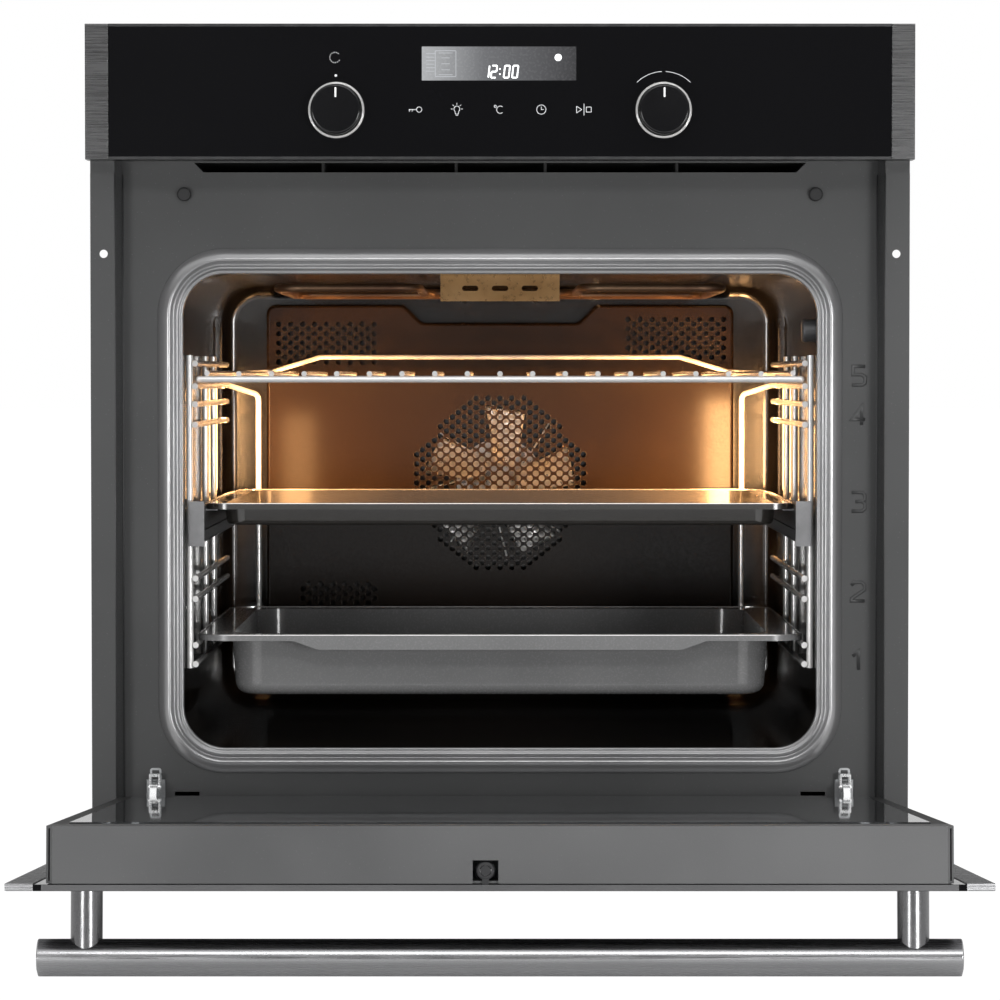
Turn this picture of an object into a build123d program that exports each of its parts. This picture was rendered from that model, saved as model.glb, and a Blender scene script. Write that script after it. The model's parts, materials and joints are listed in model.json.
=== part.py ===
from build123d import *
import os
from math import ceil, cos, radians, sin

# Built-in wall oven, 60 cm niche size.
# X runs to the right, Y runs back into the cabinet, Z runs up, all in millimetres.
# Y = 0 is the front plane of the cabinet and Z = 0 is the underside of the base.
# The door is modelled shut and is swung open about its hinge when it is written.

# ---- overall
front_width = 595.0
front_height = 595.0
case_width = 553.0
case_height = 585.0
case_depth = 545.0
sheet = 1.2
thin_sheet = 1.0

# ---- fits
running_gap = 0.4  # between faces that pass each other
bore_gap = 0.08  # radial, pin in a bearing hole
slot_gap = 1.0  # round a piece that passes through a sheet

# ---- front frame: recessed facia, slanted returns and screw flanges
facia_y = 24.0
flange_proud = 1.2
flange_width = 17.5
flange_margin = 1.5
flange_hole_spacing = 573.0
flange_hole_radius = 3.0
flange_hole_z = 431.0
key_slot_x = 229.0
key_slot_z = 37.0
key_slot_width = 18.0
key_slot_height = 3.0

# ---- oven cavity
cavity_width = 462.0
cavity_height = 346.0
cavity_floor_z = 71.0
cavity_depth = 430.0
cavity_corner = 30.0
cavity_back_corner = 10.0
insulation_thickness = 25.0
insulation_corner = 45.0

# ---- door seal
seal_border = 19.0
seal_height = 5.6
seal_slope = 9.0
seal_slope_height = 4.6

# ---- hot-air fan and its cover
fan_above_middle = 11.0  # of its cover
fan_radius = 66.0
fan_depth = 20.0
fan_blades = 8
fan_shaft_radius = 4.0
cover_width = 388.0
cover_floor_gap = 13.0
cover_ceiling_gap = 15.0
cover_depth = 36.0
cover_dip_width = 130.0
cover_dip = 15.0
hole_radius = 2.5
hole_pitch = 9.9
hole_row = 3.9
grille_half_width = 71.0
grille_half_height = 73.0
grille_flat = 25.0
vent_width = 88.0
vent_height = 33.0
vent_x = 146.0
vent_drop = 30.0  # of the vent middles below the top of the cover
low_vent_rise = 74.0
low_vent_width = 62.0
low_vent_height = 26.0

# ---- heating elements
tube_radius = 3.25
ring_radius = 92.0
ring_gap_angle = 8.0  # from the top of the ring to each lead
grill_half_width = 165.0
grill_front_y = 66.0
grill_back_y = 372.0
grill_drop = 9.0
grill_lead_x = 30.0
bracket_width = 88.0
bracket_height = 19.0
base_heater_drop = 7.0

# ---- lamps, one in each side wall
lamp_y = 320.0
lamp_drop = 125.0  # of the lamp middle below the cavity ceiling
lamp_width = 62.0
lamp_height = 86.0
lamp_depth = 17.0

# ---- meat probe socket
probe_radius = 8.5
probe_length = 9.0
probe_y = 50.0
probe_drop = 41.0

# ---- side racks
rack_post_radius = 2.5
rack_wire_radius = 2.25
rack_wall_gap = 0.5
rack_front_y = 42.0
rack_wire_end_y = 392.0
rack_rear_y = 409.0
rack_rear_inset = 31.0
rack_weld = 0.5
rack_post_ys = (42.0, 195.0, 280.0)
rack_floor_gap = 57.0
rack_ceiling_gap = 59.0
low_wire_rises = (60.0, 74.0, 108.0, 123.0, 158.0, 171.0)  # above the cavity floor
high_wire_drops = (110.0, 95.0, 81.8, 65.0)  # below the cavity ceiling

# ---- telescopic runners and baking tray (level 3)
rail_below_wire = 8.0
rail_above_wire = 6.0
rail_lip = 4.5
rail_wall = 1.2
rail_back_y = 394.0
slide_thickness = 3.2
slide_ledge = 8.0  # reach of each ledge under the tray rim
slide_end_thickness = 3.5
slide_end_front_y = 31.0
slide_end_overhang = 3.0  # past the rail, above and below
slide_end_width = 11.5
tray_width = 433.0
tray_front_y = 40.0
tray_back_y = 403.0
tray_height = 16.0
tray_border = 12.0
tray_corner = 16.0
tray_slope = 8.0
tray_bottom_bend = 4.0
rim_height = 4.0

# ---- deep pan (level 1)
pan_width = 448.0
pan_front_y = 44.0
pan_back_y = 404.0
pan_depth = 46.0
pan_border = 23.5
pan_corner = 24.0
pan_slope = 4.0
pan_bottom_bend = 9.0
pan_grip_width = 268.0
pan_grip_slope = 24.0
pan_grip_drop = 10.5

# ---- wire shelf (level 5)
shelf_width = 448.0
shelf_front_y = 46.0
shelf_back_y = 402.0
shelf_bar_radius = 2.5
shelf_rod_radius = 2.0
shelf_rod_pitch = 24.0
shelf_rods = 17
guard_rise = 18.0
guard_half_width = 148.0
guard_foot_half_width = 188.0
guard_inset = 6.0

# ---- control panel
panel_bottom_z = 498.0
panel_front_y = -22.0
panel_glass = 4.0
cap_width = 17.0
cap_wall = 1.5
trim_height = 2.0
carrier_wall = 2.0
carrier_width = 544.0
display_width = 111.0
display_height = 24.5
display_x = -0.7
display_z = 566.5
display_depth = 12.0
board_width = 320.0
board_height = 60.0
board_thickness = 1.6

# ---- push-in knobs
knob_x = 117.3
knob_z = 533.2
knob_radius = 17.9
knob_length = 22.0
knob_proud = 15.0
knob_travel = 12.0
bezel_width = 1.9
bezel_proud = 2.2
slider_radius = 8.0
slider_length = 16.0
spindle_radius = 3.0
switch_radius = 13.0
switch_overlap = 1.6  # of the released slider, inside the mouth of its switch

# ---- cooling air
outlet_width = 446.0
outlet_height = 7.0
outlet_z = 491.0
outlet_posts = (-129.0, -32.0, 33.0, 129.0)
duct_back_y = 300.0
blower_radius = 78.0
blower_height = 62.0
blower_y = 380.0
impeller_radius = 56.0
impeller_height = 36.0
impeller_blades = 16
blower_motor_radius = 28.0
blower_shaft_radius = 3.0

# ---- door, all in its shut position
hinge_y = -12.0
hinge_z = 10.0
open_angle = 86.0
door_top_z = 493.0
door_bottom_z = 2.0
door_glass = 4.0
door_front_y = -22.0
door_inner_y = 18.0
door_width = 595.0
door_trim_width = 17.0
door_frame_width = 546.0
door_profile_width = 11.0
door_profile_wall = 1.5
door_channel_height = 30.0
inner_glass_bottom_z = 34.0
middle_glass_half_width = 238.0
middle_glass_y = -2.0
bottom_profile_top_z = 32.0
catch_x = -8.7
catch_y = -9.8
catch_radius = 5.7
catch_recess_width = 15.5
catch_recess_depth = 14.0
catch_length = 8.0

# ---- hinges
arm_x = 252.0
arm_thickness = 5.0
arm_eye_radius = 4.7
pin_radius = 2.5
arm_top_z = 45.5
arm_bottom_z = 35.5
arm_reach_y = 62.0
case_half_width = 7.0
case_wall = 1.5
hinge_case_top_z = 170.0
receiver_width = 17.0
receiver_depth = 45.0
spring_radius = 4.5
spring_wire = 1.6
spring_bottom_z = 62.0
spring_top_z = 150.0
lever_y = 15.0
lever_wall = 1.2
lever_length = 8.0
lever_pin_radius = 1.5

# ---- handle
handle_length = 564.0
handle_radius = 11.5
handle_off_face = 43.0
handle_below_top = 42.0
handle_flat = 1.65  # depth of the flat on the bar
handle_flat_tilt = 29.0  # of the flat, up from facing forward, on the shut door
post_x = 252.4
post_radius = 9.75

# ---- rear
motor_radius = 38.0
motor_length = 40.0
motor_gap = 1.0
terminal_x = 190.0
terminal_z = 535.0
terminal_width = 76.0
terminal_height = 44.0
terminal_depth = 38.0
gland_radius = 5.5
buffer_x = 230.0
buffer_z = 475.0
buffer_radius = 5.0
screw_head_radius = 4.0
screw_head = 2.4

# ---- places worked out from the sizes above
front_half = front_width / 2
case_half = case_width / 2
facia_back_y = facia_y + sheet
cavity_mid_z = cavity_floor_z + cavity_height / 2
cavity_top_z = cavity_floor_z + cavity_height
cavity_back_y = facia_back_y + cavity_depth
cavity_half = cavity_width / 2
cover_bottom_z = cavity_floor_z + cover_floor_gap
cover_top_z = cavity_top_z - cover_ceiling_gap
fan_z = (cover_bottom_z + cover_top_z) / 2 + fan_above_middle
vent_z = cover_top_z - vent_drop
low_vent_z = cover_bottom_z + low_vent_rise
lamp_z = cavity_top_z - lamp_drop
probe_z = cavity_top_z - probe_drop
rack_bottom_z = cavity_floor_z + rack_floor_gap
rack_top_z = cavity_top_z - rack_ceiling_gap
level_zs = [cavity_floor_z + rise for rise in low_wire_rises]
level_zs += [cavity_top_z - drop for drop in high_wire_drops]
rail_bottom_z = level_zs[4] - rail_below_wire
rail_top_z = level_zs[5] + rail_above_wire
slide_end_bottom_z = rail_bottom_z - slide_end_overhang
slide_end_top_z = rail_top_z + slide_end_overhang
cover_front_y = cavity_back_y - cover_depth
insulation_back_y = cavity_back_y + thin_sheet + insulation_thickness
fan_front_y = cover_front_y + 9.0
flange_outer_x = front_half - flange_margin
flange_inner_x = flange_outer_x - flange_width
rack_post_x = cavity_half - rack_wall_gap - rack_post_radius
rack_wire_x = rack_post_x - rack_post_radius - rack_wire_radius + rack_weld
rail_back_x = rack_wire_x - rack_wire_radius
slide_outer_x = rail_back_x - rail_wall - running_gap
slide_inner_x = slide_outer_x - slide_thickness
slide_top_z = rail_top_z - rail_wall - running_gap
slide_bottom_z = rail_bottom_z + rail_wall + running_gap
tray_rim_z = slide_top_z + 2.4
tray_ledge_z = tray_rim_z - rim_height
pan_rim_z = level_zs[1] + rack_wire_radius + running_gap + rim_height
shelf_bar_z = level_zs[8] + rack_wire_radius + running_gap + shelf_bar_radius
shelf_half = shelf_width / 2 - shelf_bar_radius
panel_glass_half = front_half - cap_width
panel_glass_back_y = panel_front_y + panel_glass
knob_hole_radius = knob_radius + running_gap
knob_front_y = panel_front_y - knob_proud
knob_back_y = knob_front_y + knob_length
board_y = facia_y - board_thickness
switch_front_y = knob_back_y + slider_length - switch_overlap
switch_bore_back_y = knob_back_y + slider_length + knob_travel + running_gap
door_half = door_width / 2
door_glass_half = door_half - door_trim_width
door_frame_half = door_frame_width / 2
door_inner_half = door_frame_half - door_profile_width
door_shell_front_y = door_front_y + door_glass + 0.5
door_shell_back_y = door_inner_y - 1.0
handle_y = door_front_y - handle_off_face
handle_z = door_top_z - handle_below_top
blower_bottom_z = outlet_z - thin_sheet
ring_lead_x = ring_radius * sin(radians(ring_gap_angle))
ring_lead_z = fan_z + ring_radius * cos(radians(ring_gap_angle))
grill_z = cavity_top_z - grill_drop
element_leads = (
    (-ring_lead_x, ring_lead_z),
    (ring_lead_x, ring_lead_z),
    (-grill_lead_x, grill_z),
    (grill_lead_x, grill_z),
)
hinge_axis = Axis((0, hinge_y, hinge_z), (1, 0, 0))


def front_plane(y):
    """The upright plane at depth y, seen from the front: its x is X, its y is Z, and it faces forward."""
    return Plane.XZ.offset(-y)


def side_plane(x):
    """The upright plane at width x: its x is Y, its y is Z, and it faces right."""
    return Plane.YZ.offset(x)


def block(x0, x1, y0, y1, z0, z1, mode=Mode.ADD):
    """A box between two corners, in the part being built."""
    with Locations(((x0 + x1) / 2, (y0 + y1) / 2, (z0 + z1) / 2)):
        Box(abs(x1 - x0), abs(y1 - y0), abs(z1 - z0), mode=mode)


def rod(start, end, radius, mode=Mode.ADD):
    """A straight round bar between two points, in the part being built."""
    run = Vector(*end) - Vector(*start)
    with Locations(Plane(origin=start, z_dir=run)):
        Cylinder(radius, run.length, align=(Align.CENTER, Align.CENTER, Align.MIN), mode=mode)


def bent_wire(points, bend, radius):
    """A round wire along straight runs joined by equal bends."""
    with BuildPart() as wire:
        with BuildLine() as path:
            FilletPolyline(*points, radius=bend)
        with BuildSketch(Plane(origin=path.line @ 0, z_dir=path.line % 0)):
            Circle(radius)
        sweep(path=path.line)
    return wire.part


def hex_grid(half_width, half_height, keep):
    """Centres of a staggered hole grid inside a rectangle, kept where keep(x, z) is true."""
    columns = ceil(half_width / hole_pitch) + 1
    rows = ceil(half_height / hole_row) + 1
    centres = []
    for row in range(-rows, rows + 1):
        for column in range(-columns, columns + 1):
            x = (column + (row % 2) / 2) * hole_pitch
            z = row * hole_row
            if abs(x) <= half_width and abs(z) <= half_height and keep(x, z):
                centres.append((x, z))
    return centres


os.makedirs("parts", exist_ok=True)
pieces = {}
door_pieces = {}

# ======================================================================
# Case and front
# ======================================================================

with BuildPart() as front_frame:
    with BuildSketch(Plane.XY.offset(sheet)):
        with BuildLine():
            Polyline(
                (0, facia_y),
                (case_half - sheet, facia_y),
                (flange_inner_x, -flange_proud),
                (flange_outer_x, -flange_proud),
                (flange_outer_x, 0),
                (flange_inner_x + sheet, 0),
                (case_half, facia_back_y),
                (0, facia_back_y),
            )
            mirror(about=Plane.YZ)
        make_face()
    extrude(amount=case_height - sheet)
    with BuildSketch(front_plane(facia_back_y)):
        with Locations((0, cavity_mid_z)):
            RectangleRounded(cavity_width, cavity_height, cavity_corner)
        with Locations((-arm_x, (arm_top_z + arm_bottom_z) / 2), (arm_x, (arm_top_z + arm_bottom_z) / 2)):
            Rectangle(2 * case_half_width, arm_top_z - arm_bottom_z + 4 * slot_gap)
        with Locations((-key_slot_x, key_slot_z), (key_slot_x, key_slot_z)):
            Rectangle(key_slot_width, key_slot_height)
        with Locations((-buffer_x, buffer_z), (buffer_x, buffer_z)):
            Circle(buffer_radius / 2)
        with Locations((0, outlet_z + outlet_height / 2)):
            Trapezoid(outlet_width, outlet_height, 45, rotation=180)
        with Locations((-flange_hole_spacing / 2, flange_hole_z), (flange_hole_spacing / 2, flange_hole_z)):
            Circle(flange_hole_radius)
    extrude(amount=facia_back_y + 2 * flange_proud, mode=Mode.SUBTRACT)
pieces["front_frame"] = front_frame

with BuildPart() as door_seal:
    with BuildSketch(front_plane(facia_y)):
        with Locations((0, cavity_mid_z)):
            RectangleRounded(
                cavity_width + 2 * seal_border, cavity_height + 2 * seal_border, cavity_corner + seal_border
            )
            RectangleRounded(cavity_width, cavity_height, cavity_corner, mode=Mode.SUBTRACT)
    extrude(amount=seal_height)
    crest = door_seal.faces().sort_by(Axis.Y)[0]
    chamfer(crest.outer_wire().edges(), seal_slope_height, seal_slope)
pieces["door_seal"] = door_seal

def muffle(width, height, depth, corner, back_corner):
    """A rounded box that reaches back from the facia, with its rear edges rounded."""
    with BuildPart() as body:
        with BuildSketch(front_plane(facia_back_y)):
            with Locations((0, cavity_mid_z)):
                RectangleRounded(width, height, corner)
        extrude(amount=-depth)
        fillet(body.faces().sort_by(Axis.Y)[-1].edges(), back_corner)
    return body.part


muffle_outside = muffle(cavity_width + 2 * thin_sheet, cavity_height + 2 * thin_sheet,
                        cavity_depth + thin_sheet,
                        cavity_corner + thin_sheet, cavity_back_corner + thin_sheet)
muffle_inside = muffle(cavity_width, cavity_height, cavity_depth, cavity_corner, cavity_back_corner)
with BuildPart() as cavity:
    add(muffle_outside)
    add(muffle_inside, mode=Mode.SUBTRACT)
    with BuildSketch(front_plane(facia_back_y)):
        with Locations((0, cavity_mid_z)):
            RectangleRounded(
                cavity_width + 2 * seal_border, cavity_height + 2 * seal_border, cavity_corner + seal_border
            )
            RectangleRounded(cavity_width, cavity_height, cavity_corner, mode=Mode.SUBTRACT)
    extrude(amount=-thin_sheet)
    # shaft, element leads, lamp windows and probe socket
    rod((0, cavity_back_y - 2, fan_z), (0, cavity_back_y + 4, fan_z), fan_shaft_radius + slot_gap,
        Mode.SUBTRACT)
    for lead_x, lead_z in element_leads:
        rod((lead_x, cavity_back_y - cavity_back_corner - 2, lead_z), (lead_x, cavity_back_y + 4, lead_z),
            tube_radius + slot_gap / 2, Mode.SUBTRACT)
    block(-case_half, case_half, lamp_y - lamp_width / 2, lamp_y + lamp_width / 2,
          lamp_z - lamp_height / 2, lamp_z + lamp_height / 2, Mode.SUBTRACT)
    rod((cavity_half - 1, probe_y, probe_z), (cavity_half + 3, probe_y, probe_z), probe_radius / 2,
        Mode.SUBTRACT)
pieces["cavity"] = cavity

with BuildPart() as insulation:
    with BuildSketch(front_plane(facia_back_y + 2 * thin_sheet)):
        with Locations((0, cavity_mid_z)):
            RectangleRounded(
                cavity_width + 2 * insulation_thickness,
                cavity_height + 2 * insulation_thickness,
                insulation_corner,
            )
    extrude(amount=-(insulation_back_y - facia_back_y - 2 * thin_sheet))
    with BuildSketch(front_plane(facia_back_y)):
        with Locations((0, cavity_mid_z)):
            RectangleRounded(
                cavity_width + 2 * thin_sheet + 1,
                cavity_height + 2 * thin_sheet + 1,
                cavity_corner + thin_sheet,
            )
    extrude(amount=-(cavity_depth + thin_sheet + 0.5), mode=Mode.SUBTRACT)
    block(-190, 190, 70, 420, cavity_floor_z - base_heater_drop - 6, cavity_floor_z, Mode.SUBTRACT)
    rod((0, cavity_back_y, fan_z), (0, insulation_back_y + 2, fan_z), 12, Mode.SUBTRACT)
    block(-case_half, case_half, lamp_y - lamp_width / 2 - 6, lamp_y + lamp_width / 2 + 6,
          lamp_z - lamp_height / 2 - 6, lamp_z + lamp_height / 2 + 6, Mode.SUBTRACT)
    for lead_x, lead_z in element_leads:
        rod((lead_x, cavity_back_y, lead_z), (lead_x, insulation_back_y + 2, lead_z),
            tube_radius + slot_gap, Mode.SUBTRACT)
    rod((cavity_half, probe_y, probe_z), (case_half, probe_y, probe_z), probe_radius / 2 + slot_gap,
        Mode.SUBTRACT)
pieces["insulation"] = insulation

with BuildPart() as side_panels:
    block(case_half - thin_sheet, case_half, facia_back_y, case_depth - sheet, 0, case_height)
    mirror(about=Plane.YZ)
pieces["side_panels"] = side_panels

with BuildPart() as base_plate:
    block(-case_half + thin_sheet, case_half - thin_sheet, -flange_proud, case_depth - sheet, 0, sheet)
    for rib_x in (-160, 160):
        block(rib_x - 20, rib_x + 20, 60, 500, sheet, sheet + 8)
        block(rib_x - 20 + sheet, rib_x + 20 - sheet, 60, 500, 0, sheet + 8 - sheet, Mode.SUBTRACT)
pieces["base_plate"] = base_plate

with BuildPart() as top_cover:
    block(-case_half + thin_sheet, case_half - thin_sheet, facia_back_y, case_depth - sheet,
          case_height - sheet, case_height)
pieces["top_cover"] = top_cover

with BuildPart() as rear_cover:
    block(-case_half, case_half, case_depth - sheet, case_depth, 0, case_height)
    block(terminal_x - terminal_width / 2 - 1, terminal_x + terminal_width / 2 + 1,
          case_depth - 5, case_depth + 1,
          terminal_z - terminal_height / 2 - 1, terminal_z + terminal_height / 2 + 1, Mode.SUBTRACT)
    with BuildSketch(front_plane(case_depth)):
        with Locations((0, fan_z), (0, 470)):
            with GridLocations(24, 22, 9, 4):
                SlotOverall(18, 5, rotation=90)
    extrude(amount=2 * sheet, mode=Mode.SUBTRACT)
pieces["rear_cover"] = rear_cover

with BuildPart() as terminal_box:
    block(terminal_x - terminal_width / 2, terminal_x + terminal_width / 2,
          case_depth - terminal_depth, case_depth,
          terminal_z - terminal_height / 2, terminal_z + terminal_height / 2)
    rod((terminal_x, case_depth - terminal_depth + 3, terminal_z), (terminal_x, case_depth + 1, terminal_z),
        gland_radius, Mode.SUBTRACT)
    fillet(terminal_box.faces().sort_by(Axis.Y)[-1].outer_wire().edges(), 2)
pieces["terminal_box"] = terminal_box

# ======================================================================
# Inside the cavity
# ======================================================================

with BuildPart() as fan_cover_plate:
    dip_half = cover_dip_width / 2
    half = cover_width / 2
    with BuildSketch(front_plane(cavity_back_y)):
        with BuildLine():
            Polyline(
                (0, cover_bottom_z),
                (half, cover_bottom_z),
                (half, cover_top_z),
                (dip_half + cover_dip, cover_top_z),
                (dip_half, cover_top_z - cover_dip),
                (0, cover_top_z - cover_dip),
            )
            mirror(about=Plane.YZ)
        make_face()
    extrude(amount=cover_depth)
    fillet(fan_cover_plate.edges().filter_by(Axis.Y), 8)
    front_rim = fan_cover_plate.faces().sort_by(Axis.Y)[0].edges()
    fillet(front_rim, 3)
    offset(amount=-sheet, openings=fan_cover_plate.faces().sort_by(Axis.Y)[-1])
    fan_holes = hex_grid(
        grille_half_width, grille_half_height,
        lambda x, z: (abs(x) - grille_flat) * (grille_half_height - 24)
        + (abs(z) - grille_half_height) * (grille_half_width - grille_flat) <= 0,
    )
    vent_holes = hex_grid(vent_width / 2, vent_height / 2, lambda x, z: True)
    low_holes = hex_grid(low_vent_width / 2, low_vent_height / 2, lambda x, z: True)
    with BuildSketch(front_plane(cover_front_y + 2 * sheet)):
        with Locations((0, fan_z)):
            with Locations(*fan_holes):
                Circle(hole_radius)
        with Locations((-vent_x + 2, vent_z - 2), (vent_x, vent_z + 2)):
            with Locations(*vent_holes):
                Circle(hole_radius)
        with Locations((-vent_x + 12, low_vent_z)):
            with Locations(*low_holes):
                Circle(hole_radius)
    extrude(amount=4 * sheet, mode=Mode.SUBTRACT)
pieces["fan_cover_plate"] = fan_cover_plate

with BuildPart() as convection_fan:
    with BuildSketch(front_plane(fan_front_y + fan_depth)):
        with Locations((0, fan_z)):
            Circle(fan_radius * 0.55)
    extrude(amount=sheet)
    with BuildSketch(front_plane(fan_front_y + fan_depth)):
        with Locations((0, fan_z)):
            with PolarLocations(0, fan_blades):
                with Locations(Location((fan_radius * 0.6, 0), 14)):
                    Rectangle(fan_radius * 0.78, sheet)
    extrude(amount=fan_depth - 2)
    rod((0, fan_front_y, fan_z), (0, fan_front_y + fan_depth, fan_z), 9)
    rod((0, fan_front_y + fan_depth, fan_z), (0, insulation_back_y + 22, fan_z), fan_shaft_radius)
pieces["convection_fan"] = convection_fan

with BuildPart() as convection_motor:
    rod((0, insulation_back_y + motor_gap, fan_z), (0, insulation_back_y + motor_gap + motor_length, fan_z),
        motor_radius)
    block(-motor_radius - 12, motor_radius + 12,
          insulation_back_y + motor_gap, insulation_back_y + motor_gap + 3, fan_z - 10, fan_z + 10)
    rod((0, insulation_back_y, fan_z), (0, insulation_back_y + motor_length - 8, fan_z),
        fan_shaft_radius + bore_gap, Mode.SUBTRACT)
    fillet(convection_motor.faces().sort_by(Axis.Y)[-1].edges(), 3)
pieces["convection_motor"] = convection_motor

ring_y = cavity_back_y - 16
with BuildPart() as ring_heater:
    with BuildLine(front_plane(ring_y)):
        ring_path = CenterArc((0, fan_z), ring_radius, 90 + ring_gap_angle, 360 - 2 * ring_gap_angle)
    with BuildSketch(Plane(origin=ring_path @ 0, z_dir=ring_path % 0)):
        Circle(tube_radius)
    sweep(path=ring_path)
    for ring_end in (ring_path @ 0, ring_path @ 1):
        with Locations(ring_end):
            Sphere(tube_radius)
        rod((ring_end.X, ring_y, ring_end.Z), (ring_end.X, insulation_back_y + 6, ring_end.Z), tube_radius)
pieces["ring_heater"] = ring_heater

grill_loop = bent_wire(
    [
        (-grill_lead_x, insulation_back_y + 6, grill_z),
        (-grill_lead_x, grill_back_y - 40, grill_z),
        (-grill_half_width, grill_back_y - 40, grill_z),
        (-grill_half_width, grill_front_y, grill_z),
        (-60, grill_front_y, grill_z),
        (-60, grill_back_y - 110, grill_z),
        (60, grill_back_y - 110, grill_z),
        (60, grill_front_y, grill_z),
        (grill_half_width, grill_front_y, grill_z),
        (grill_half_width, grill_back_y - 40, grill_z),
        (grill_lead_x, grill_back_y - 40, grill_z),
        (grill_lead_x, insulation_back_y + 6, grill_z),
    ],
    18,
    tube_radius,
)
with BuildPart() as grill_heater:
    add(grill_loop)
pieces["grill_heater"] = grill_heater

bracket_y = grill_front_y - tube_radius - sheet
with BuildPart() as grill_bracket:
    block(-bracket_width / 2, bracket_width / 2, bracket_y, bracket_y + sheet,
          cavity_top_z - bracket_height, cavity_top_z)
    block(-bracket_width / 2, bracket_width / 2, bracket_y, bracket_y + 24,
          cavity_top_z - sheet, cavity_top_z)
    with BuildSketch(front_plane(bracket_y + sheet)):
        with Locations((0, cavity_top_z - bracket_height / 2)):
            with GridLocations(22, 1, 3, 1):
                SlotOverall(12, 4)
    extrude(amount=sheet, mode=Mode.SUBTRACT)
pieces["grill_bracket"] = grill_bracket

base_z = cavity_floor_z - base_heater_drop
with BuildPart() as base_heater:
    add(bent_wire(
        [
            (-20, 410, base_z), (-20, 330, base_z), (-160, 330, base_z), (-160, 110, base_z),
            (160, 110, base_z), (160, 330, base_z), (20, 330, base_z), (20, 410, base_z),
        ],
        20,
        tube_radius,
    ))
pieces["base_heater"] = base_heater

with BuildPart() as lamp_covers:
    block(cavity_half - 1, cavity_half + 3, lamp_y - lamp_width / 2 + 0.3, lamp_y + lamp_width / 2 - 0.3,
          lamp_z - lamp_height / 2 + 0.3, lamp_z + lamp_height / 2 - 0.3)
    fillet(lamp_covers.edges().filter_by(Axis.X), 6)
    fillet(lamp_covers.faces().sort_by(Axis.X)[0].edges(), 0.8)
    mirror(about=Plane.YZ)
pieces["lamp_covers"] = lamp_covers

lamp_front_x = cavity_half + 3
lamp_back_x = lamp_front_x + lamp_depth
bulb_x = cavity_half + 10
with BuildPart() as lamp_fittings:
    block(lamp_front_x, lamp_back_x, lamp_y - lamp_width / 2 - 3, lamp_y + lamp_width / 2 + 3,
          lamp_z - lamp_height / 2 - 3, lamp_z + lamp_height / 2 + 3)
    block(lamp_front_x, lamp_back_x - sheet, lamp_y - lamp_width / 2, lamp_y + lamp_width / 2,
          lamp_z - lamp_height / 2, lamp_z + lamp_height / 2, Mode.SUBTRACT)
    rod((bulb_x, lamp_y, lamp_z - lamp_height / 2), (bulb_x, lamp_y, lamp_z - 18), 6)
    rod((bulb_x, lamp_y, lamp_z - 18), (bulb_x, lamp_y, lamp_z + 12), 4.5)
    with Locations((bulb_x, lamp_y, lamp_z + 12)):
        Sphere(4.5)
    mirror(about=Plane.YZ)
pieces["lamp_fittings"] = lamp_fittings

with BuildPart() as probe_socket_cap:
    rod((cavity_half - probe_length, probe_y, probe_z), (cavity_half, probe_y, probe_z), probe_radius)
    fillet(probe_socket_cap.faces().sort_by(Axis.X)[0].edges(), 2)
    rod((cavity_half, probe_y, probe_z), (cavity_half + 20, probe_y, probe_z), probe_radius / 2 - 0.2)
pieces["probe_socket_cap"] = probe_socket_cap

with BuildPart() as temperature_sensor:
    rod((80, cover_front_y - 32, grill_z), (80, cavity_back_y - 0.8, grill_z), 2.0)
pieces["temperature_sensor"] = temperature_sensor

for name, side in (("left_side_rack", -1), ("right_side_rack", 1)):
    wire_x = side * rack_wire_x
    rear_x = side * (cavity_half - rack_rear_inset)
    rear_wire = bent_wire(
        [
            (wire_x, 350, level_zs[1]),
            (wire_x, 385, level_zs[1]),
            (rear_x, rack_rear_y, level_zs[1] - 4),
            (rear_x, rack_rear_y, level_zs[8] - 8),
            (wire_x, 385, level_zs[8]),
            (wire_x, 350, level_zs[8]),
        ],
        6,
        rack_wire_radius,
    )
    with BuildPart() as side_rack:
        add(rear_wire)
        for post_y in rack_post_ys:
            rod((side * rack_post_x, post_y, rack_bottom_z), (side * rack_post_x, post_y, rack_top_z),
                rack_post_radius)
        for level_z in level_zs:
            rod((wire_x, rack_front_y - 4, level_z), (wire_x, rack_wire_end_y - 20, level_z),
                rack_wire_radius)
    pieces[name] = side_rack

with BuildPart() as runner_rails:
    block(rail_back_x - rail_wall, rail_back_x, rack_front_y + 3, rail_back_y, rail_bottom_z, rail_top_z)
    for lip_z in (rail_bottom_z, rail_top_z - rail_wall):
        block(rail_back_x - rail_lip, rail_back_x, rack_front_y + 3, rail_back_y, lip_z, lip_z + rail_wall)
    mirror(about=Plane.YZ)
pieces["runner_rails"] = runner_rails

with BuildPart() as runner_slides:
    slide_back_y = rail_back_y - 2
    block(slide_inner_x, slide_outer_x, slide_end_front_y, slide_back_y, slide_bottom_z, slide_top_z)
    groove_z = (slide_bottom_z + slide_top_z) / 2
    block(slide_inner_x, slide_inner_x + 1.5, slide_end_front_y + 6, slide_back_y, groove_z - 5, groove_z + 5,
          Mode.SUBTRACT)
    block(tray_width / 2 - slide_ledge, slide_inner_x, tray_front_y + tray_border, slide_back_y,
          tray_ledge_z - sheet, tray_ledge_z)
    block(slide_inner_x, slide_inner_x + slide_end_width,
          slide_end_front_y, slide_end_front_y + slide_end_thickness, slide_end_bottom_z, slide_end_top_z)
    mirror(about=Plane.YZ)
pieces["runner_slides"] = runner_slides


def basin(width, length, mid_y, rim_z, depth, corner, slope, bottom_bend):
    """A solid block that tapers down from the rim, with a rounded bottom edge."""
    with BuildPart() as body:
        with BuildSketch(Plane.XY.offset(rim_z)):
            with Locations((0, mid_y)):
                RectangleRounded(width, length, corner)
        extrude(amount=-depth, taper=slope)
        fillet(body.faces().sort_by(Axis.Z)[0].edges(), bottom_bend)
    return body.part


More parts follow.
